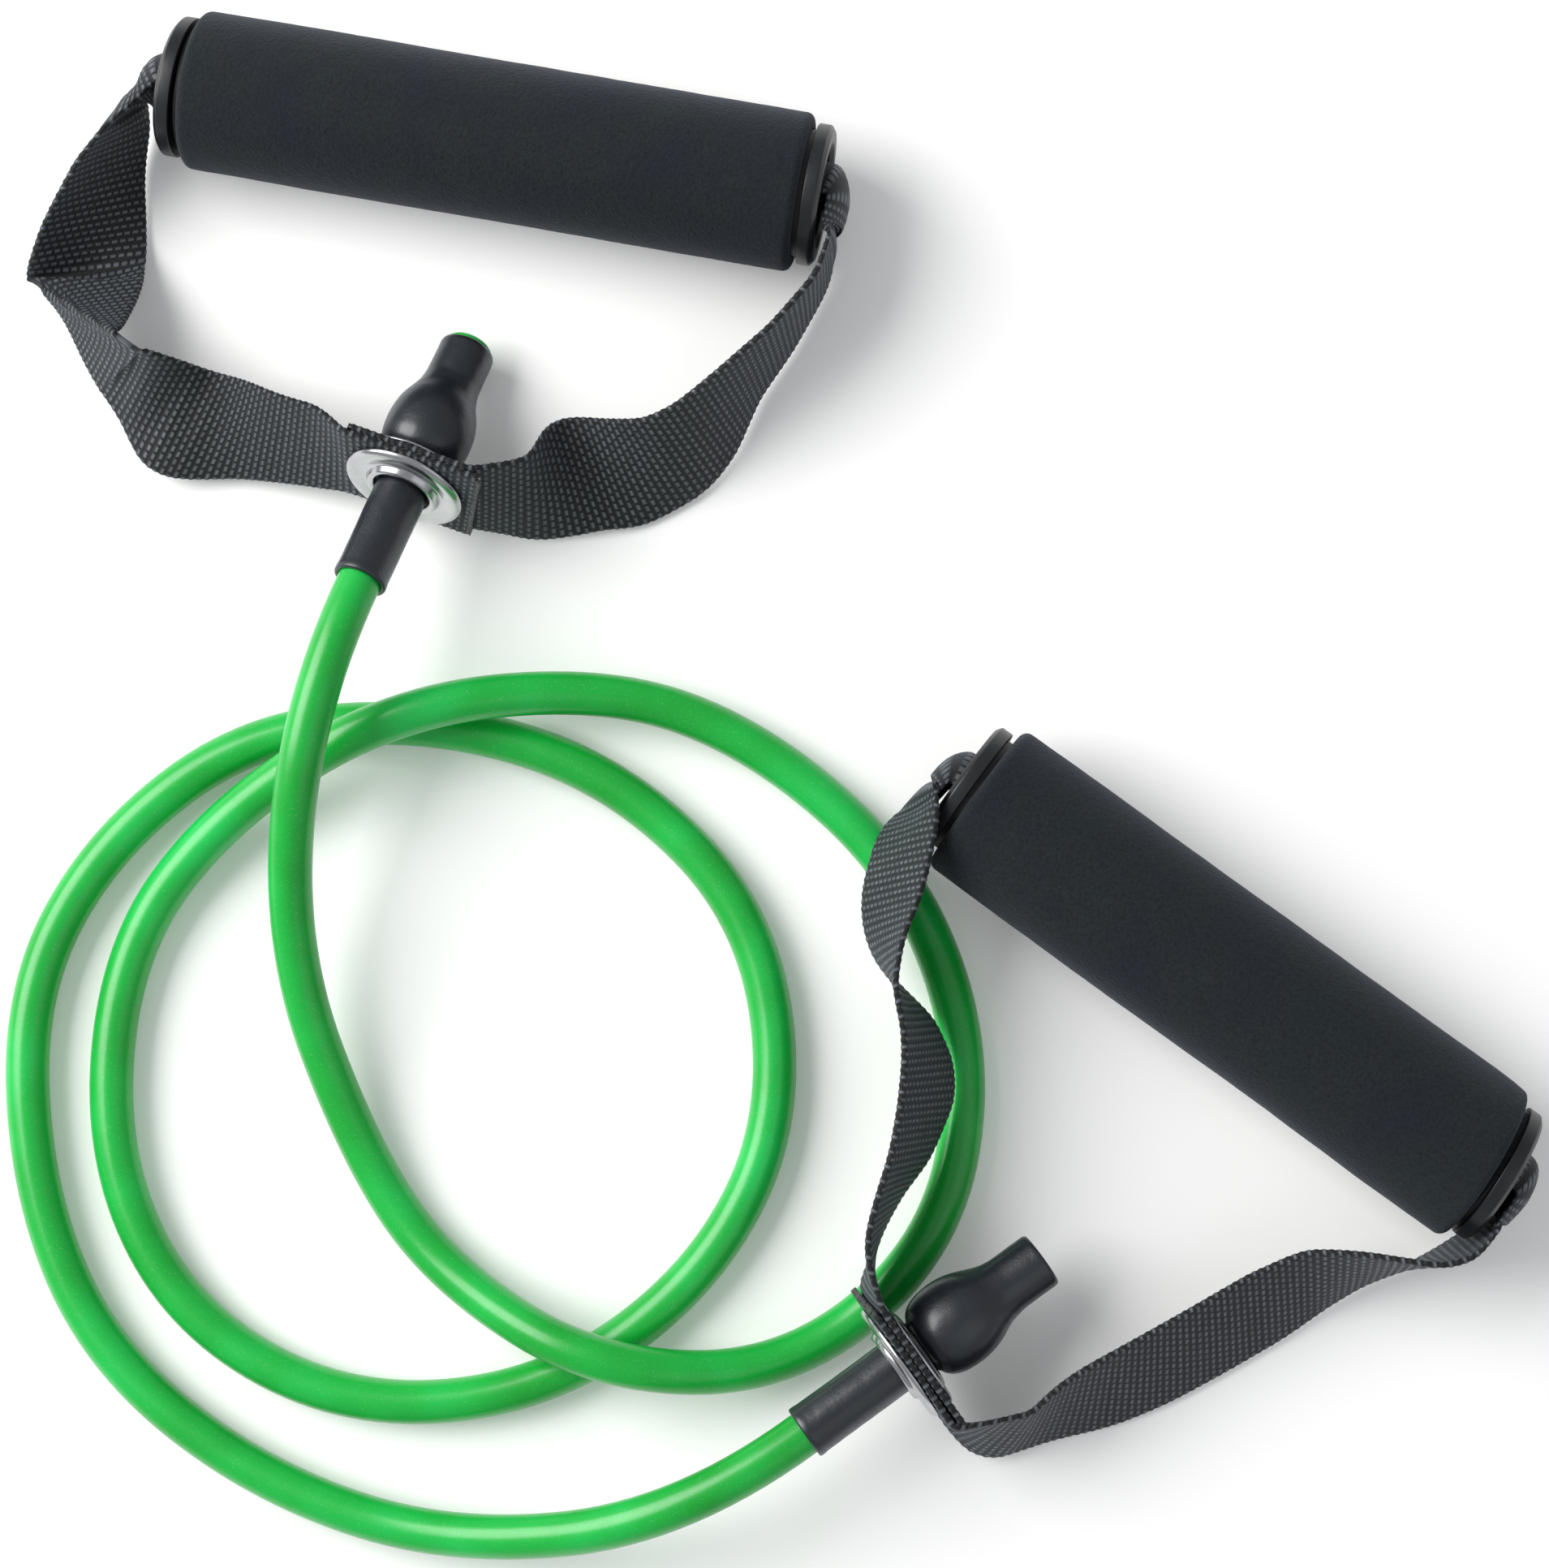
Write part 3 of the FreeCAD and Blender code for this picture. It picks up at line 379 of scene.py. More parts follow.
def make_webbing(melt=False):
    m, nt, b = new_material("webbing_melt" if melt else "webbing")
    uv = node(nt, "ShaderNodeUVMap", uv_map="weave").outputs["UV"]
    sep = node(nt, "ShaderNodeSeparateXYZ", {"Vector": uv})
    along, across = sep.outputs["X"], sep.outputs["Y"]      # units of 10 mm
    p = place(nt)
    if melt:
        lump = grain(nt, p, 900.0, 3.0)
        nt.links.new(ramp(nt, lump, [(0.3, (0.006, 0.006, 0.007)), (0.7, (0.020, 0.021, 0.024))]), b.inputs["Base Color"])
        nt.links.new(span(nt, lump, 0.22, 0.5), b.inputs["Roughness"])
        nt.links.new(bump(nt, lump, 0.8, 0.0005), b.inputs["Normal"])
        return m
    rib = math_node(nt, "COSINE", math_node(nt, "MULTIPLY", along, 2 * math.pi * 10.0 / RIB))
    rib01 = math_node(nt, "MULTIPLY_ADD", rib, 0.5, 0.5)
    # warp yarns: columns across the width, each rib carrying short floats, every other column half a rib later
    # (half a row on, so that a row's middle is a rib's crest)
    swap = node(nt, "ShaderNodeCombineXYZ", {"X": across, "Y": math_node(nt, "ADD", along, RIB / 20.0)}).outputs["Vector"]
    brick = node(nt, "ShaderNodeTexBrick", {
        "Vector": swap, "Color1": (1, 1, 1, 1), "Color2": (0.55, 0.55, 0.55, 1), "Mortar": (0, 0, 0, 1), "Scale": 1.0,
        "Mortar Size": 0.040, "Mortar Smooth": 0.4, "Bias": -0.2, "Brick Width": 0.180, "Row Height": RIB / 10.0},
        offset=0.5, offset_frequency=2)
    yarn = brick.outputs["Color"]
    fibre = grain(nt, swap, 30.0, 2.0, 0.6, stretch=(9.0, 1.5, 1.0))
    worn = grain(nt, p, 70.0, 3.0)
    base = ramp(nt, worn, [(0.30, (0.0020, 0.0023, 0.0030)), (0.55, (0.0030, 0.0033, 0.0040)), (0.75, (0.0026, 0.0036, 0.0038))])
    crest = math_node(nt, "POWER", rib01, 1.6)
    # the yarn floats on the rib crests are a real weave pattern, but their pale blue-grey base colour is a painted
    # highlight standing in for the yarn's glint
    crest_floats_painted_glint = math_node(nt, "MULTIPLY", yarn, crest)
    weave_with_painted_glint = mix(nt, crest_floats_painted_glint, base, (0.105, 0.118, 0.135))
    nt.links.new(weave_with_painted_glint, b.inputs["Base Color"])
    nt.links.new(math_node(nt, "SUBTRACT", span(nt, fibre, 0.58, 0.74), math_node(nt, "MULTIPLY", crest_floats_painted_glint, 0.26)), b.inputs["Roughness"])
    h = math_node(nt, "ADD", math_node(nt, "MULTIPLY", yarn, 0.7), math_node(nt, "MULTIPLY", fibre, 0.35))
    nt.links.new(bump(nt, h, 0.75, 0.00028), b.inputs["Normal"])
    b.inputs["Specular IOR Level"].default_value = 0.42
    b.inputs["Sheen Weight"].default_value = 0.12
    b.inputs["Sheen Roughness"].default_value = 0.45
    b.inputs["Sheen Tint"].default_value = (0.65, 0.78, 1.0, 1.0)
    return m


def make_sleeve():
    m, nt, b = new_material("sleeve_rubber")
    p = place(nt)
    big = grain(nt, p, 90.0, 3.0)
    fine = grain(nt, p, 1500.0, 3.0, 0.6)
    nt.links.new(ramp(nt, big, [(0.30, (0.0050, 0.0060, 0.0100)), (0.55, (0.0070, 0.0085, 0.0130)), (0.75, (0.0080, 0.0110, 0.0130))]), b.inputs["Base Color"])
    rough = math_node(nt, "ADD", span(nt, big, 0.33, 0.45), math_node(nt, "MULTIPLY", fine, 0.08))
    nt.links.new(rough, b.inputs["Roughness"])
    b.inputs["Coat Weight"].default_value = 0.45
    b.inputs["Coat Roughness"].default_value = 0.24
    b.inputs["Coat Tint"].default_value = (0.80, 0.90, 1.0, 1.0)
    nt.links.new(bump(nt, math_node(nt, "ADD", fine, math_node(nt, "MULTIPLY", big, 2.0)), 0.25, 0.0003), b.inputs["Normal"])
    b.inputs["Specular IOR Level"].default_value = 0.55
    return m


def make_metal():
    m, nt, b = new_material("grommet_metal")
    p = place(nt)
    smear = grain(nt, p, 260.0, 4.0, 0.6)
    scratch = grain(nt, p, 2200.0, 2.0, 0.5, stretch=(1.0, 0.08, 0.5))
    nt.links.new(ramp(nt, smear, [(0.30, (0.44, 0.44, 0.46)), (0.55, (0.50, 0.50, 0.52)), (0.8, (0.56, 0.555, 0.55))]), b.inputs["Base Color"])
    b.inputs["Metallic"].default_value = 1.0
    nt.links.new(span(nt, smear, 0.16, 0.27), b.inputs["Roughness"])
    nt.links.new(bump(nt, scratch, 0.06, 0.0001), b.inputs["Normal"])
    return m


def make_plastic(name, dark, light, rough):
    m, nt, b = new_material(name)
    p = place(nt)
    big = grain(nt, p, 120.0, 3.0)
    fine = grain(nt, p, 3000.0, 2.0)
    nt.links.new(ramp(nt, big, [(0.3, dark), (0.7, light)]), b.inputs["Base Color"])
    nt.links.new(math_node(nt, "ADD", span(nt, big, rough - 0.06, rough + 0.08), math_node(nt, "MULTIPLY", fine, 0.05)), b.inputs["Roughness"])
    nt.links.new(bump(nt, fine, 0.18, 0.00015), b.inputs["Normal"])
    return m


RIB = 1.5
TUBE = make_tube()
FOAM = make_foam()
WEBBING = make_webbing()
MELT = make_webbing(True)
SLEEVE = make_sleeve()
METAL = make_metal()
CAP = make_plastic("cap_plastic", (0.0065, 0.007, 0.009), (0.011, 0.012, 0.015), 0.34)
CORE = make_plastic("core_plastic", (0.010, 0.010, 0.010), (0.018, 0.018, 0.019), 0.5)


# ------------------------------------------------------------------ mesh helpers
def link(mesh, name, *materials):
    o = bpy.data.objects.new(name, mesh)
    scene.collection.objects.link(o)
    for mat in materials:
        mesh.materials.append(mat)
    return o


def crease(mesh, degrees=40):
    """Smooth shading with the hard edges kept."""
    bm = bmesh.new()
    bm.from_mesh(mesh)
    bmesh.ops.recalc_face_normals(bm, faces=bm.faces)
    limit = math.radians(degrees)
    for f in bm.faces:
        f.smooth = True
    for e in bm.edges:
        if len(e.link_faces) == 2 and e.calc_face_angle(0.0) > limit:
            e.smooth = False
    bm.to_mesh(mesh)
    bm.free()


def axes(axis):
    z = Vector(axis).normalized()
    x = Vector((0, 0, 1)).cross(z).normalized()
    return x, z.cross(x), z


def fillet(points, steps=6):
    """(radius, height, rounding) corners of a closed profile, each rounded by its own amount."""
    out = []
    n = len(points)
    for i, (r, h, rad) in enumerate(points):
        if rad <= 0:
            out.append((r, h))
            continue
        a = Vector(points[i - 1][:2]) - Vector((r, h))
        c = Vector(points[(i + 1) % n][:2]) - Vector((r, h))
        half = a.angle(c) / 2
        cut = min(rad / math.tan(half), a.length * 0.49, c.length * 0.49)
        rr = cut * math.tan(half)
        p, q = Vector((r, h)) + a.normalized() * cut, Vector((r, h)) + c.normalized() * cut
        mid = Vector((r, h)) + (a.normalized() + c.normalized()).normalized() * (rr / math.sin(half))
        t0, t1 = math.atan2(p.y - mid.y, p.x - mid.x), math.atan2(q.y - mid.y, q.x - mid.x)
        d = (t1 - t0 + math.pi) % (2 * math.pi) - math.pi
        for k in range(steps + 1):
            t = t0 + d * k / steps
            out.append((mid.x + rr * math.cos(t), mid.y + rr * math.sin(t)))
    return out


def lathe(name, loop, base, axis, mats, seg=96, shift=None, step=None, hard=40):
    """Closed profile turned about axis; shift(point, radial, s) may move a vertex. Millimetres in, metres out."""
    if step:
        fine = []
        for i, p in enumerate(loop):
            q = loop[(i + 1) % len(loop)]
            n = max(1, int(math.hypot(q[0] - p[0], q[1] - p[1]) / step))
            fine += [(p[0] + (q[0] - p[0]) * k / n, p[1] + (q[1] - p[1]) * k / n) for k in range(n)]
        loop = fine
    x, y, z = axes(axis)
    b = Vector(base)
    verts, faces = [], []
    for k in range(seg):
        t = 2 * math.pi * k / seg
        d = x * math.cos(t) + y * math.sin(t)
        for r, h in loop:
            p = b + z * h + d * r
            if shift:
                p = shift(p, d, h, r, t)
            verts.append(p * MM)
    m = len(loop)
    for k in range(seg):
        a, c = k * m, ((k + 1) % seg) * m
        for j in range(m):
            j2 = (j + 1) % m
            faces.append((a + j, a + j2, c + j2, c + j))
    mesh = bpy.data.meshes.new(name)
    mesh.from_pydata(verts, [], faces)
    crease(mesh, hard)
    return link(mesh, name, *mats)


def spline2(pts, step=0.4):
    """Catmull-Rom through (a, b) pairs."""
    out = []
    for i in range(len(pts) - 1):
        p0 = Vector(pts[max(i - 1, 0)])
        p1, p2 = Vector(pts[i]), Vector(pts[i + 1])
        p3 = Vector(pts[min(i + 2, len(pts) - 1)])
        n = max(1, int((p2 - p1).length / step))
        for k in range(n):
            t = k / n
            q = 0.5 * ((2 * p1) + (p2 - p0) * t + (2 * p0 - 5 * p1 + 4 * p2 - p3) * t * t + (3 * p1 - p0 - 3 * p2 + p3) * t ** 3)
            out.append((q.x, q.y))
    out.append(tuple(pts[-1]))
    return out


# ------------------------------------------------------------------ the elastic tube
def route_curve(name, points):
    cu = bpy.data.curves.new(name, "CURVE")
    cu.dimensions = "3D"
    sp = cu.splines.new("NURBS")
    sp.points.add(len(points) - 1)
    for p, q in zip(sp.points, points):
        p.co = (*q, 1.0)
    sp.order_u = 3
    sp.use_endpoint_u = True
    sp.resolution_u = 14
    cu.resolution_u = 14
    return cu


cu = route_curve("elastic_tube_run", TUBE_ROUTE)
cu.bevel_depth = TUBE_DIA / 2 * MM
cu.bevel_resolution = 12
cu.use_fill_caps = True
cu.materials.append(TUBE)
tube = bpy.data.objects.new("elastic_tube_run", cu)
scene.collection.objects.link(tube)
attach(tube, "band")
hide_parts("elastic_tube")

# ------------------------------------------------------------------ rubber sleeves over the tube ends and plugs
BULGE = [(3.4, 5.6), (4.4, 7.0), (5.6, 8.1), (7.4, 8.85), (9.4, 9.2), (11.6, 9.3), (13.8, 9.15), (16.0, 8.7),
         (18.0, 8.0), (19.8, 7.2), (21.6, 6.5), (23.4, 6.1), (25.6, 5.9)]
FRONT, BACK = 25.6, 33.3
for h, centre, axis in (("a", GROMMET_A, SLEEVE_AXIS_A), ("b", GROMMET_B, SLEEVE_AXIS_B)):
    a = Vector(axis).normalized()
    base = Vector(centre) - a * FRONT
    body = spline2([(FRONT + 1.2, 5.5), (FRONT + 2.4, 5.5)] + [(FRONT + s, r) for s, r in BULGE] + [(FRONT + BACK - 1.1, 5.9)], 0.35)
    outer = [(4.55, 0.15), (4.75, 0.0), (5.15, 0.0), (5.45, 0.12), (5.58, 0.45), (5.58, 1.3), (5.5, 1.9)]
    outer += [(5.5, 1.9 + k * (FRONT - 1.0) / 44) for k in range(1, 44)]
    outer += [(r, s) for s, r in body]
    outer += [(5.86, FRONT + BACK - 0.6), (5.70, FRONT + BACK - 0.18), (5.40, FRONT + BACK)]
    inner = [(4.95, FRONT + BACK), (4.90, FRONT + BACK - 0.3)]
    inner += [(r - 1.0, s) for s, r in reversed(body[::3])]
    inner += [(4.52, FRONT - 2.0), (4.52, 0.6)]

    def rubber(p, d, s, r, t, h=h, a=a):
        n = noise.noise(p * 0.11 + Vector((3.1, 0.7, 5.2))) * 0.10 + noise.noise(p * 0.42) * 0.035
        if r > 5.0:
            # creases where the sleeve closes in on the plug
            n += 0.07 * math.exp(-((s - FRONT - 20.5) / 1.6) ** 2) * math.cos(7 * t + 1.0)
            n += 0.05 * math.exp(-((s - FRONT - 3.6) / 1.2) ** 2) * math.cos(9 * t)
            return p + d * n
        return p

    o = lathe("rubber_sleeve_" + h, outer + inner, base, axis, [SLEEVE], 112, rubber, hard=50)
    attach(o, "band")
    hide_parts("end_sleeve_" + h)

# ------------------------------------------------------------------ grommets
for h, centre, axis in (("a", GROMMET_A, SLEEVE_AXIS_A), ("b", GROMMET_B, SLEEVE_AXIS_B)):
    a = Vector(axis).normalized()
    base = Vector(centre) - a * 8.0
    z0 = 8 - 0.82 - 0.75 - 0.05        # front face of the webbing
    z1 = 8 + 0.82 + 0.75 + 0.05        # back face
    loop = spline2([
        (6.05, z0 + 2.0), (6.05, z0 - 1.3), (6.25, z0 - 1.95), (6.75, z0 - 2.25), (7.35, z0 - 2.12), (7.75, z0 - 1.55),
        (8.05, z0 - 0.95), (8.60, z0 - 0.80), (9.60, z0 - 1.05), (10.8, z0 - 1.32), (11.7, z0 - 1.30), (12.4, z0 - 0.98),
        (12.78, z0 - 0.50), (12.80, z0 - 0.12)], 0.16)
    loop += [(12.6, z0), (7.5, z0), (7.5, z1 + 0.9), (8.45, z1 + 0.9), (8.7, z1 + 1.05), (8.45, z1 + 1.35), (7.6, z1 + 1.6), (6.6, z1 + 1.5), (6.15, z1 + 1.2), (6.05, z1 + 0.6)]
    o = lathe("eyelet_" + h, loop, base, axis, [METAL], 128, hard=55)
    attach(o, "grommet_" + h)
    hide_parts("grommet_eyelet_" + h)
    o = lathe("eyelet_washer_" + h, fillet([
        (7.52, z1, 0), (12.2, z1, 0.15), (12.2, z1 + 0.45, 0.2), (11.2, z1 + 0.9, 0.3), (7.52, z1 + 0.9, 0)], 4), base, axis, [METAL], 112, hard=55)
    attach(o, "grommet_" + h)
    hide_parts("grommet_washer_" + h)

# ------------------------------------------------------------------ grips
GAP, CAP_T = 1.2, 3.4
FOAM_LEN_A, FOAM_LEN_B = 128.5, 126.5
for h, grip, axis, dia, foam_len in (("a", GRIP_A, GRIP_AXIS_A, 33.0, FOAM_LEN_A), ("b", GRIP_B, GRIP_AXIS_B, 33.9, FOAM_LEN_B)):
    a = Vector(axis).normalized()
    c = Vector(grip)
    loop = fillet([(13.05, 0, 0.5), (dia / 2, 0, 2.7), (dia / 2, foam_len, 2.7), (13.05, foam_len, 0.5)], 8)

    low = Vector((axis[1], -axis[0], 0.0))
    low = -low if low.y > 0 else low

    def squeeze(p, d, s, r, t, h=h, low=low, foam_len=foam_len, a=a):
        if r < 13.4:
            return p
        n = noise.noise(p * 0.030 + Vector((9.0, 2.0, 4.0))) * 0.22 + noise.noise(p * 0.14) * 0.07 + noise.noise(p * 0.9) * 0.035
        if h == "b":
            # the far end of this sleeve is pushed in on its outer side
            near = min(1.0, max(0.0, (s - foam_len + 16.0) / 16.0))
            p = p - a * (2.4 * near * near * (0.5 - 0.5 * d.dot(low)))
            n -= 0.9 * max(0.0, near - 0.45) ** 2 * (0.5 - 0.5 * d.dot(low)) * 2.0
        return p + d * (n - 0.12)

    o = lathe("foam_sleeve_" + h, loop, c - a * (foam_len / 2), axis, [FOAM], 160, squeeze, 0.9, hard=60)
    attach(o, "grip_" + h)
    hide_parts("foam_grip_" + h)
    reach = foam_len / 2 + GAP + CAP_T
    for side, sgn in (("left", -1), ("right", 1)):
        inward = a * -sgn
        loop = fillet([
            (10.3, 0.9, 0.5), (11.1, 0.0, 0.5), (13.4, 0.0, 0.5), (14.5, 0.85, 0.5), (14.5, 3.4, 0.25), (11.25, 3.4, 0.1),
            (11.25, 14.6, 0.3), (10.75, 15.4, 0.3), (10.3, 15.4, 0.2)], 5)
        # handle A's left cap has worked loose on one side
        lean = 0.030 if (side, h) == ("left", "a") else 0.0
        push = 0.07 if (side, h) == ("right", "b") else 0.0

        def tilt(p, d, s, r, t, lean=lean, low=low, inward=inward, push=push):
            hold = min(1.0, max(0.0, (6.5 - s) / 3.0))
            return p - inward * (lean * (d.dot(low) * r + 14.5) * hold) + inward * (push * (14.5 - d.dot(low) * r) * hold)

        o = lathe("cap_%s_%s" % (side, h), loop, c + a * (sgn * reach), tuple(inward), [CAP], 112, tilt, hard=45)
        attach(o, "grip_" + h)
        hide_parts("end_cap_%s_%s" % (side, h))

# ------------------------------------------------------------------ webbing
WIDTH, HALF_T = 25.0, 0.75
X_GRID = np.linspace(1e-6, math.pi, 4000)
Y_GRID = np.sin(X_GRID) / X_GRID


def lap_station(centre, axis, along_dir, width_dir, s, layer, top_first=True, skew=0.0):
    c = np.array(centre) + np.array(along_dir) * s + np.array(axis) * (layer * 0.82)
    half = np.array(width_dir) * (WIDTH / 2) + np.array(along_dir) * skew
    return (c + half, c - half) if top_first else (c - half, c + half)


def core_stations(grip, axis, first_up, foam_len):
    reach = foam_len / 2 + GAP + CAP_T
    side = np.array((-axis[1], axis[0], 0.0))
    if side[1] < 0:
        side = -side
    ang = WIDTH / 2 / 8.8
    out = []
    for s in (-reach, reach):
        c = np.array(grip) + np.array(axis) * s + side * (8.8 * math.cos(ang) - 2.5)
        up = np.array((0, 0, 8.8 * math.sin(ang)))
        out.append((c + up, c - up) if first_up else (c - up, c + up))
    return out


def catmull(P, step):
    """Centripetal Catmull-Rom through the rows of P, sampled about every step."""
    out = []
    n = len(P)
    for i in range(n - 1):
        p0 = P[i - 1] if i else 2 * P[0] - P[1]
        p1, p2 = P[i], P[i + 1]
        p3 = P[i + 2] if i + 2 < n else 2 * P[-1] - P[-2]
        d = [max(np.linalg.norm((b - a)[:3]), 1e-6) ** 0.5 for a, b in ((p0, p1), (p1, p2), (p2, p3))]
        t0, t1 = 0.0, d[0]
        t2, t3 = t1 + d[1], t1 + d[1] + d[2]
        for k in range(step):
            t = t1 + (t2 - t1) * k / step
            a1 = (t1 - t) / (t1 - t0) * p0 + (t - t0) / (t1 - t0) * p1
            a2 = (t2 - t) / (t2 - t1) * p1 + (t - t1) / (t2 - t1) * p2
            a3 = (t3 - t) / (t3 - t2) * p2 + (t - t2) / (t3 - t2) * p3
            b1 = (t2 - t) / (t2 - t0) * a1 + (t - t0) / (t2 - t0) * a2
            b2 = (t3 - t) / (t3 - t1) * a2 + (t - t1) / (t3 - t1) * a3
            out.append((t2 - t) / (t2 - t1) * b1 + (t - t1) / (t2 - t1) * b2)
    out.append(P[-1])
    return np.array(out)


ACROSS = np.array([1.0, 0.985, 0.955, 0.91, 0.85, 0.77, 0.68, 0.58, 0.48, 0.38, 0.28, 0.18, 0.08])
ACROSS = np.concatenate([ACROSS, [0.0], -ACROSS[::-1]])


def tuck(ring, grip, axis, foam_len, ends):
    """Draw the turn of the tape outside each cap in towards the cap's face; the rest of the loop stays."""
    out = ring.copy()
    ax = np.array(axis)
    side = np.array((-ax[1], ax[0], 0.0))
    if side[1] < 0:
        side = -side
    rel = ring - np.array(grip)
    q = rel @ side
    w = np.clip((q + 21.0) / 15.0, 0.0, 1.0)
    w = w * w * (3 - 2 * w)
    for sgn, start, much in ends:
        d = rel @ ax * sgn - (foam_len / 2 + GAP + CAP_T)
        cut = np.maximum(d - start, 0.0) * much * w
        out -= (ax * sgn) * cut[..., None]
    return out


def ribbon(name, stations, bulge, grip, axis, foam_len, ends):
    """Woven tape through its stations, ribbed across, closed all round. Returns the object and its length in mm."""
    # a row is (first edge, second edge, how far the second edge is ahead along the tape)
    rows = [np.concatenate([q[0], q[1], [q[2] if len(q) > 2 else 0.0]]) for q in stations]
    full = [rows[0]]
    for a, b in zip(rows[:-1], rows[1:]):
        gap = max(np.linalg.norm((b - a)[:3] + (b - a)[3:6]) / 2, 1e-6)
        n = max(1, int(round(gap / 4.5)))
        full += [a + (b - a) * k / n for k in range(1, n + 1)]
    P = catmull(np.array(full), 6)
    for _ in range(5):                      # take the corners off
        P[1:-1] = P[1:-1] * 0.5 + (P[:-2] + P[2:]) * 0.25
    # softer still where it uncurls outside the caps
    near = np.abs(np.abs(((P[:, :3] + P[:, 3:6]) / 2 - np.array(grip)) @ np.array(axis)) - (foam_len / 2 + GAP + CAP_T + 3.0))
    soft = np.clip((11.0 - near) / 5.0, 0.0, 1.0) * (np.linalg.norm(np.cross((P[:, :3] + P[:, 3:6]) / 2 - np.array(grip), np.array(axis)), axis=1) < 20.0)
    for _ in range(14):
        Q = P[1:-1] * 0.5 + (P[:-2] + P[2:]) * 0.25
        P[1:-1] += (Q - P[1:-1]) * soft[1:-1, None]
    P = P[np.concatenate([[True], np.linalg.norm(np.diff(P[:, :6], axis=0), axis=1) > 1e-6])]
    mid = (P[:, :3] + P[:, 3:6]) / 2
    s = np.concatenate([[0], np.cumsum(np.linalg.norm(np.diff(mid, axis=0), axis=1))])
    L = s[-1]
    walk = np.maximum(np.linalg.norm(np.diff(P[:, :3], axis=0), axis=1), np.linalg.norm(np.diff(P[:, 3:6], axis=0), axis=1))
    walk = np.concatenate([[0], np.cumsum(np.maximum(walk, np.diff(s)))])
    g = np.linspace(0, walk[-1], int(walk[-1] / (RIB / 5.5)) + 1)
    t = np.interp(g, walk, s)
    P = np.stack([np.interp(g, walk, P[:, k]) for k in range(7)], 1)
    ahead = P[:, 6]
    e1, e2 = P[:, :3], P[:, 3:6]
    mid = (e1 + e2) / 2
    w = e1 - e2
    chord = np.linalg.norm(w, axis=1)
    u = w / chord[:, None]
    tan = np.gradient(mid, axis=0)
    for _ in range(6):
        tan[1:-1] = tan[1:-1] * 0.5 + (tan[:-2] + tan[2:]) * 0.25
    tan -= u * (tan * u).sum(1)[:, None]
    tan /= np.linalg.norm(tan, axis=1)[:, None]
    n = np.cross(tan, u)
    ratio = np.clip(chord / WIDTH, 0.0, 0.99999)
    x = np.interp(-ratio, -Y_GRID, X_GRID)
    x = np.maximum(x, 0.02)
    R = WIDTH / (2 * x)
    # the material's own length at each point: ribs stay square to the tape where its rulings run across a fold
    own = [t - f * ahead / 2 for f in ACROSS]
    top, bot = [], []
    for f, at in zip(ACROSS, own):
        rib = 0.5 + 0.5 * np.cos(2 * math.pi * at / RIB)
        wide = 1.0 + 0.014 * rib * abs(f) ** 8
        ang = f * x
        c = mid + u * (R * np.sin(ang) * wide)[:, None] + n * (bulge * (R * np.cos(ang) - R * np.cos(x)))[:, None]
        mm = (u * np.sin(ang)[:, None] + n * (bulge * np.cos(ang))[:, None]) * bulge
        edge = min(1.0, (1.0 - abs(f)) / 0.05)
        thick = (0.42 + 0.58 * math.sqrt(1 - (1 - edge) ** 2))
        hgt = HALF_T * thick * (0.80 + 0.20 * rib)
        # slow ripple of a used tape
        ripple = 0.10 * np.sin(t / 17.0 + 1.3) * f * f + 0.05 * np.sin(t / 5.3 + 2.0 * f)
        c = c + n * ripple[:, None]
        top.append(c + mm * hgt[:, None])
        bot.append(c - mm * hgt[:, None])
    ring = np.stack(top + bot[::-1], 1)      # stations x points x 3
    ring = tuck(ring, grip, axis, foam_len, ends)
    N, M = ring.shape[:2]
    K = len(ACROSS)
    melt = (t < 0.9) | (t > L - 0.9)
    for i in np.nonzero(melt)[0]:
        for j in range(M):
            v = Vector(ring[i, j])
            ring[i, j] += tan[i] * noise.noise(v * 0.9) * 0.35 + n[i] * noise.noise(v * 1.7 + Vector((5, 5, 5))) * 0.10
    idx = np.arange(N * M).reshape(N, M)
    a = idx[:-1]
    b = idx[1:]
    quads = np.stack([a, np.roll(a, -1, 1), np.roll(b, -1, 1), b], -1).reshape(-1, 4)
    caps = []
    for row, flip in ((idx[0], False), (idx[-1], True)):
        for j in range(K - 1):
            q = (row[j], row[j + 1], row[M - 2 - j], row[M - 1 - j])
            caps.append(q[::-1] if flip else q)
    faces = [tuple(int(v) for v in q) for q in quads] + [tuple(int(v) for v in q) for q in caps]
    mesh = bpy.data.meshes.new(name)
    mesh.from_pydata((ring.reshape(-1, 3) * MM).tolist(), [], faces)
    o = link(mesh, name, WEBBING, MELT)
    # the tape's own coordinates: along and across, units of 10 mm
    vlist = np.concatenate([ACROSS, ACROSS[::-1]]) * WIDTH / 20 + 1.25
    layer = mesh.uv_layers.new(name="weave")
    loops = np.empty(len(mesh.loops), int)
    mesh.loops.foreach_get("vertex_index", loops)
    own = np.stack(own + own[::-1], 1)
    uv = np.stack([own[loops // M, loops % M] / 10, vlist[loops % M]], 1)
    layer.data.foreach_set("uv", uv.ravel().astype(np.float32))
    near = np.zeros(len(faces), np.int32)
    near[: len(quads)] = np.repeat(melt[:-1] | melt[1:], M)
    near[len(quads):] = 1
    mesh.polygons.foreach_set("material_index", near)
    mesh.polygons.foreach_set("use_smooth", [True] * len(faces))
    mesh.update()
    bm = bmesh.new()
    bm.from_mesh(mesh)
    bmesh.ops.recalc_face_normals(bm, faces=bm.faces)
    bm.to_mesh(mesh)
    bm.free()
    return o, L


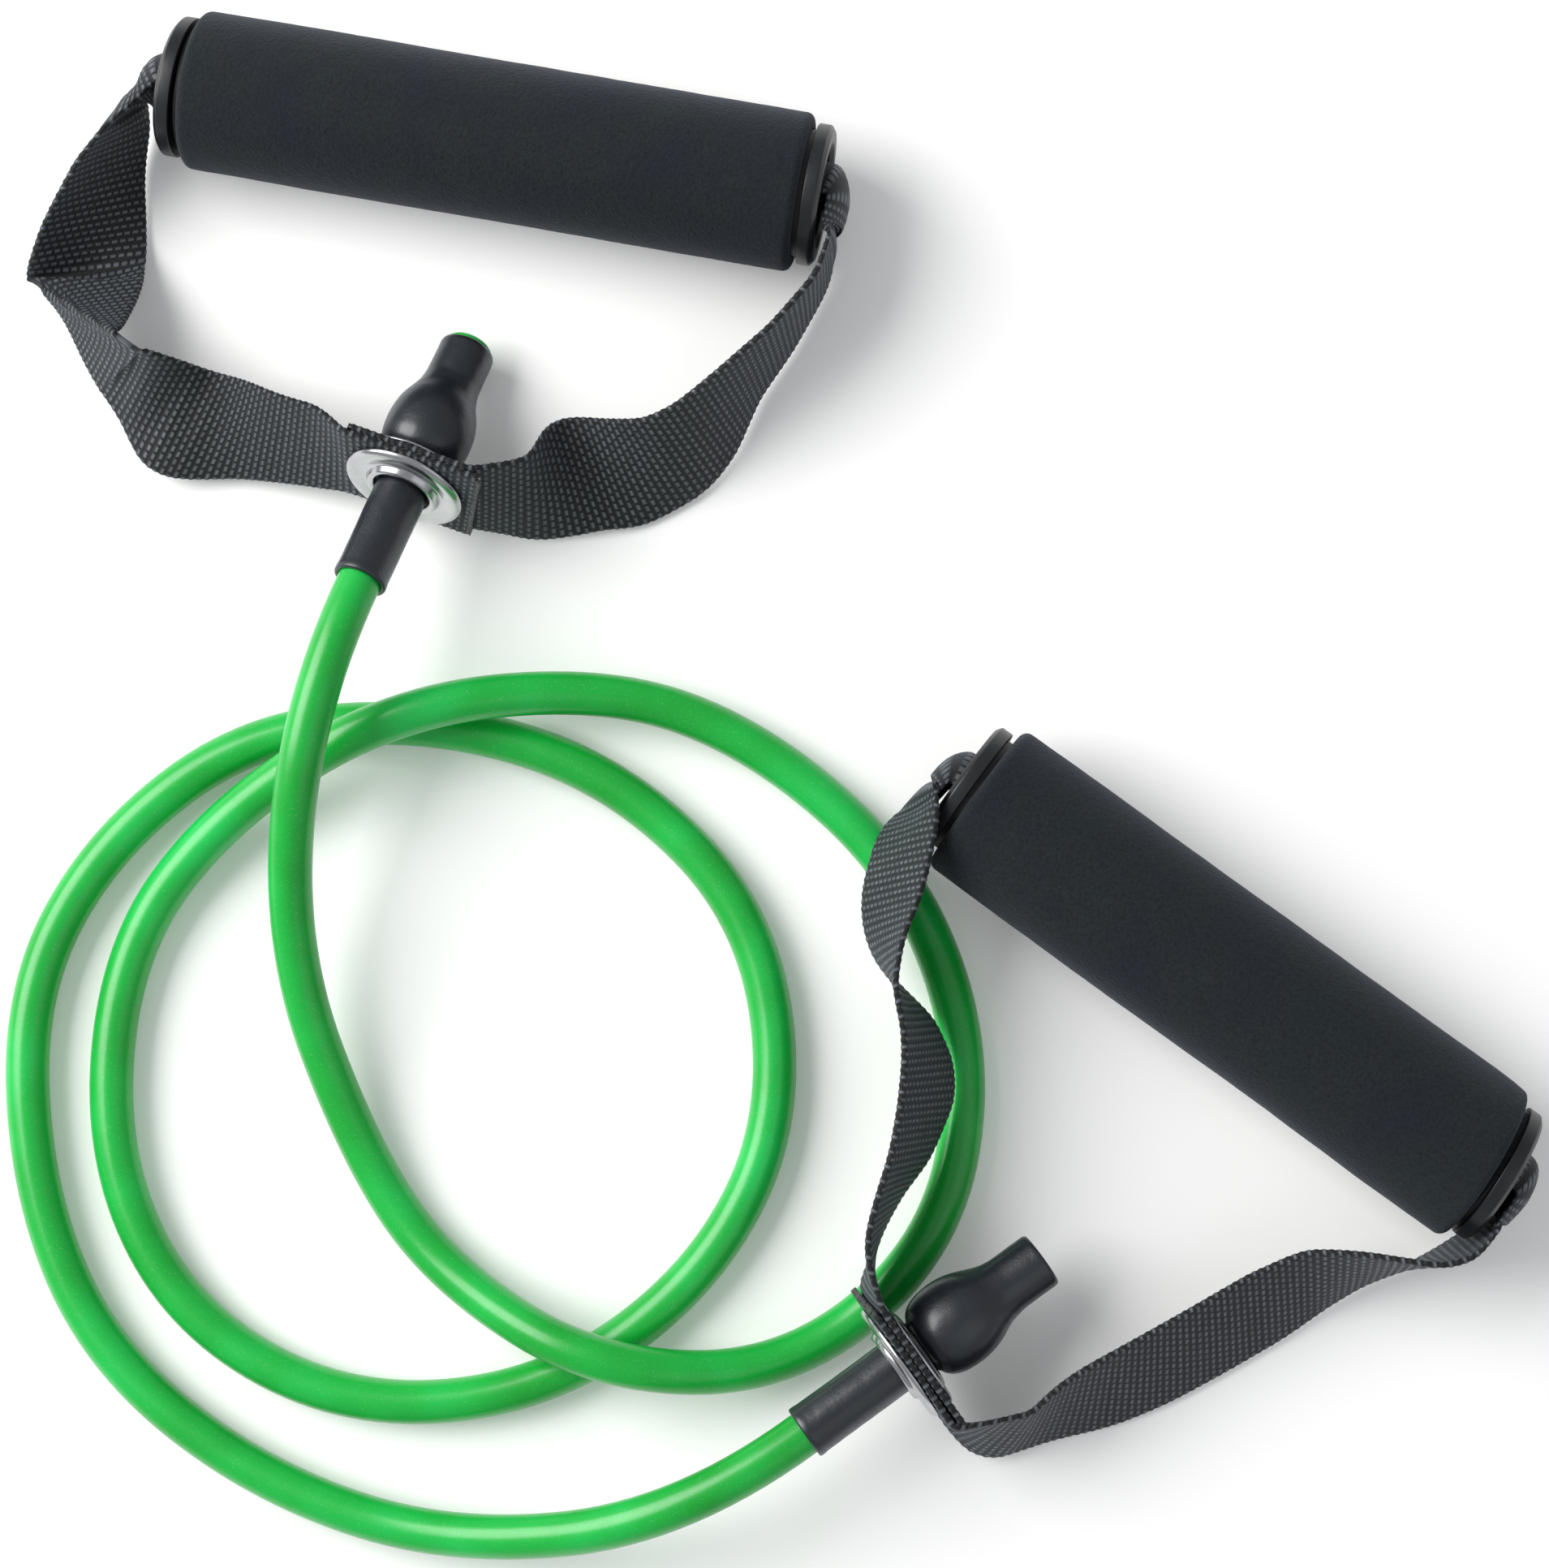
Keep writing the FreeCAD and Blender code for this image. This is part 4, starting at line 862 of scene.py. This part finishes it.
def punch(o, centre, axis, radius):
    """The grommet's hole through both layers."""
    x, y, z = axes(axis)
    bm = bmesh.new()
    bmesh.ops.create_cone(bm, cap_ends=True, segments=96, radius1=radius * MM, radius2=radius * MM, depth=9.0 * MM)
    cut = bpy.data.meshes.new("hole")
    bm.to_mesh(cut)
    bm.free()
    cutter = bpy.data.objects.new("hole", cut)
    scene.collection.objects.link(cutter)
    cutter.matrix_world = Matrix((
        (x.x, y.x, z.x, centre[0] * MM), (x.y, y.y, z.y, centre[1] * MM), (x.z, y.z, z.z, centre[2] * MM), (0, 0, 0, 1)))
    mod = o.modifiers.new("hole", "BOOLEAN")
    mod.operation = "DIFFERENCE"
    mod.solver = "MANIFOLD"
    mod.object = cutter
    bpy.context.view_layer.update()
    dg = bpy.context.evaluated_depsgraph_get()
    made = bpy.data.meshes.new_from_object(o.evaluated_get(dg))
    ok = len(made.polygons) > 1000
    o.modifiers.remove(mod)
    if ok:
        old = o.data
        o.data = made
        bpy.data.meshes.remove(old)
    bpy.data.objects.remove(cutter)
    bpy.data.meshes.remove(cut)
    return ok


def pairs(table, flip=False):
    rows = [(np.array(r[0]), np.array(r[1])) + tuple(r[2:]) for r in table]
    return [(r[1], r[0]) for r in reversed(rows)] if flip else rows


st = [lap_station(GROMMET_A, SLEEVE_AXIS_A, LAP_A, LAP_WIDTH_A, -15.5, -1, True, -1.3)]
st += pairs(LEG_A_LEFT) + core_stations(GRIP_A, GRIP_AXIS_A, False, FOAM_LEN_A) + pairs(LEG_A_RIGHT, True)
st += [lap_station(GROMMET_A, SLEEVE_AXIS_A, LAP_A, LAP_WIDTH_A, 12.9, 1, False)]
web_a, length_a = ribbon("webbing_loop_a", st, 1, GRIP_A, GRIP_AXIS_A, FOAM_LEN_A, ((-1, 2.6, 0.20), (1, 1.0, 0.45)))
st = [lap_station(GROMMET_B, SLEEVE_AXIS_B, LAP_B, LAP_WIDTH_B, -14.5, 1)]
st += pairs(LEG_B_LEFT) + core_stations(GRIP_B, GRIP_AXIS_B, True, FOAM_LEN_B)
st += [(p, q) for p, q in reversed(pairs(LEG_B_RIGHT))]
st += [lap_station(GROMMET_B, SLEEVE_AXIS_B, LAP_B, LAP_WIDTH_B, 14.5, -1)]
web_b, length_b = ribbon("webbing_loop_b", st, -1, GRIP_B, GRIP_AXIS_B, FOAM_LEN_B, ((-1, 1.0, 0.45), (1, 1.0, 0.50)))
print("hole", punch(web_a, GROMMET_A, SLEEVE_AXIS_A, 7.6), punch(web_b, GROMMET_B, SLEEVE_AXIS_B, 7.6))
print("webbing", round(length_a, 1), round(length_b, 1), len(web_a.data.polygons), len(web_b.data.polygons))
for h, o in (("a", web_a), ("b", web_b)):
    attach(o, "strap_" + h)
    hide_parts("webbing_strap_" + h)

# ------------------------------------------------------------------ the CAD nodes that stay
for n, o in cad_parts.items():
    mat = TUBE if n.startswith("tube_end") else CORE if n.startswith(("core_tube", "anchor_plug")) else None
    if mat is not None:
        if not o.material_slots:
            o.data.materials.append(mat)
        for s in o.material_slots:
            s.material = mat

# ------------------------------------------------------------------ floor and light
mesh = bpy.data.meshes.new("floor")
mesh.from_pydata([(-4, -4, 0), (4, -4, 0), (4, 4, 0), (-4, 4, 0)], [], [(0, 1, 2, 3)])
fm, nt, b = new_material("floor")
nt.links.new(ramp(nt, grain(nt, place(nt), 3.0, 2.0), [(0.3, (0.83, 0.83, 0.83)), (0.7, (0.86, 0.86, 0.86))]), b.inputs["Base Color"])
b.inputs["Roughness"].default_value = 0.9
b.inputs["Emission Color"].default_value = (1.0, 1.0, 1.0, 1.0)
b.inputs["Emission Strength"].default_value = 0.14
floor = link(mesh, "floor", fm)
floor.location.z = -0.0002

world = bpy.data.worlds.new("world")
scene.world = world
world.use_nodes = True
bg = world.node_tree.nodes["Background"]
bg.inputs["Color"].default_value = (0.96, 0.98, 1.0, 1.0)
bg.inputs["Strength"].default_value = 0.42


def area(name, where, target, size, power, colour=(1, 1, 1)):
    d = bpy.data.lights.new(name, "AREA")
    d.energy = power
    d.size = size
    d.color = colour
    o = bpy.data.objects.new(name, d)
    scene.collection.objects.link(o)
    o.location = where
    o.rotation_mode = "QUATERNION"
    o.rotation_quaternion = (Vector(target) - Vector(where)).to_track_quat("-Z", "Y")
    return o


area("key", (-1.05, 0.38, 1.00), (-0.05, 0, 0), 1.10, 30.0, (1.0, 0.99, 0.97))
area("fill", (0.9, -0.6, 1.2), (0, 0, 0), 1.2, 2.0, (0.95, 0.98, 1.0))
scene.view_settings.view_transform = "Standard"
scene.view_settings.look = "None"
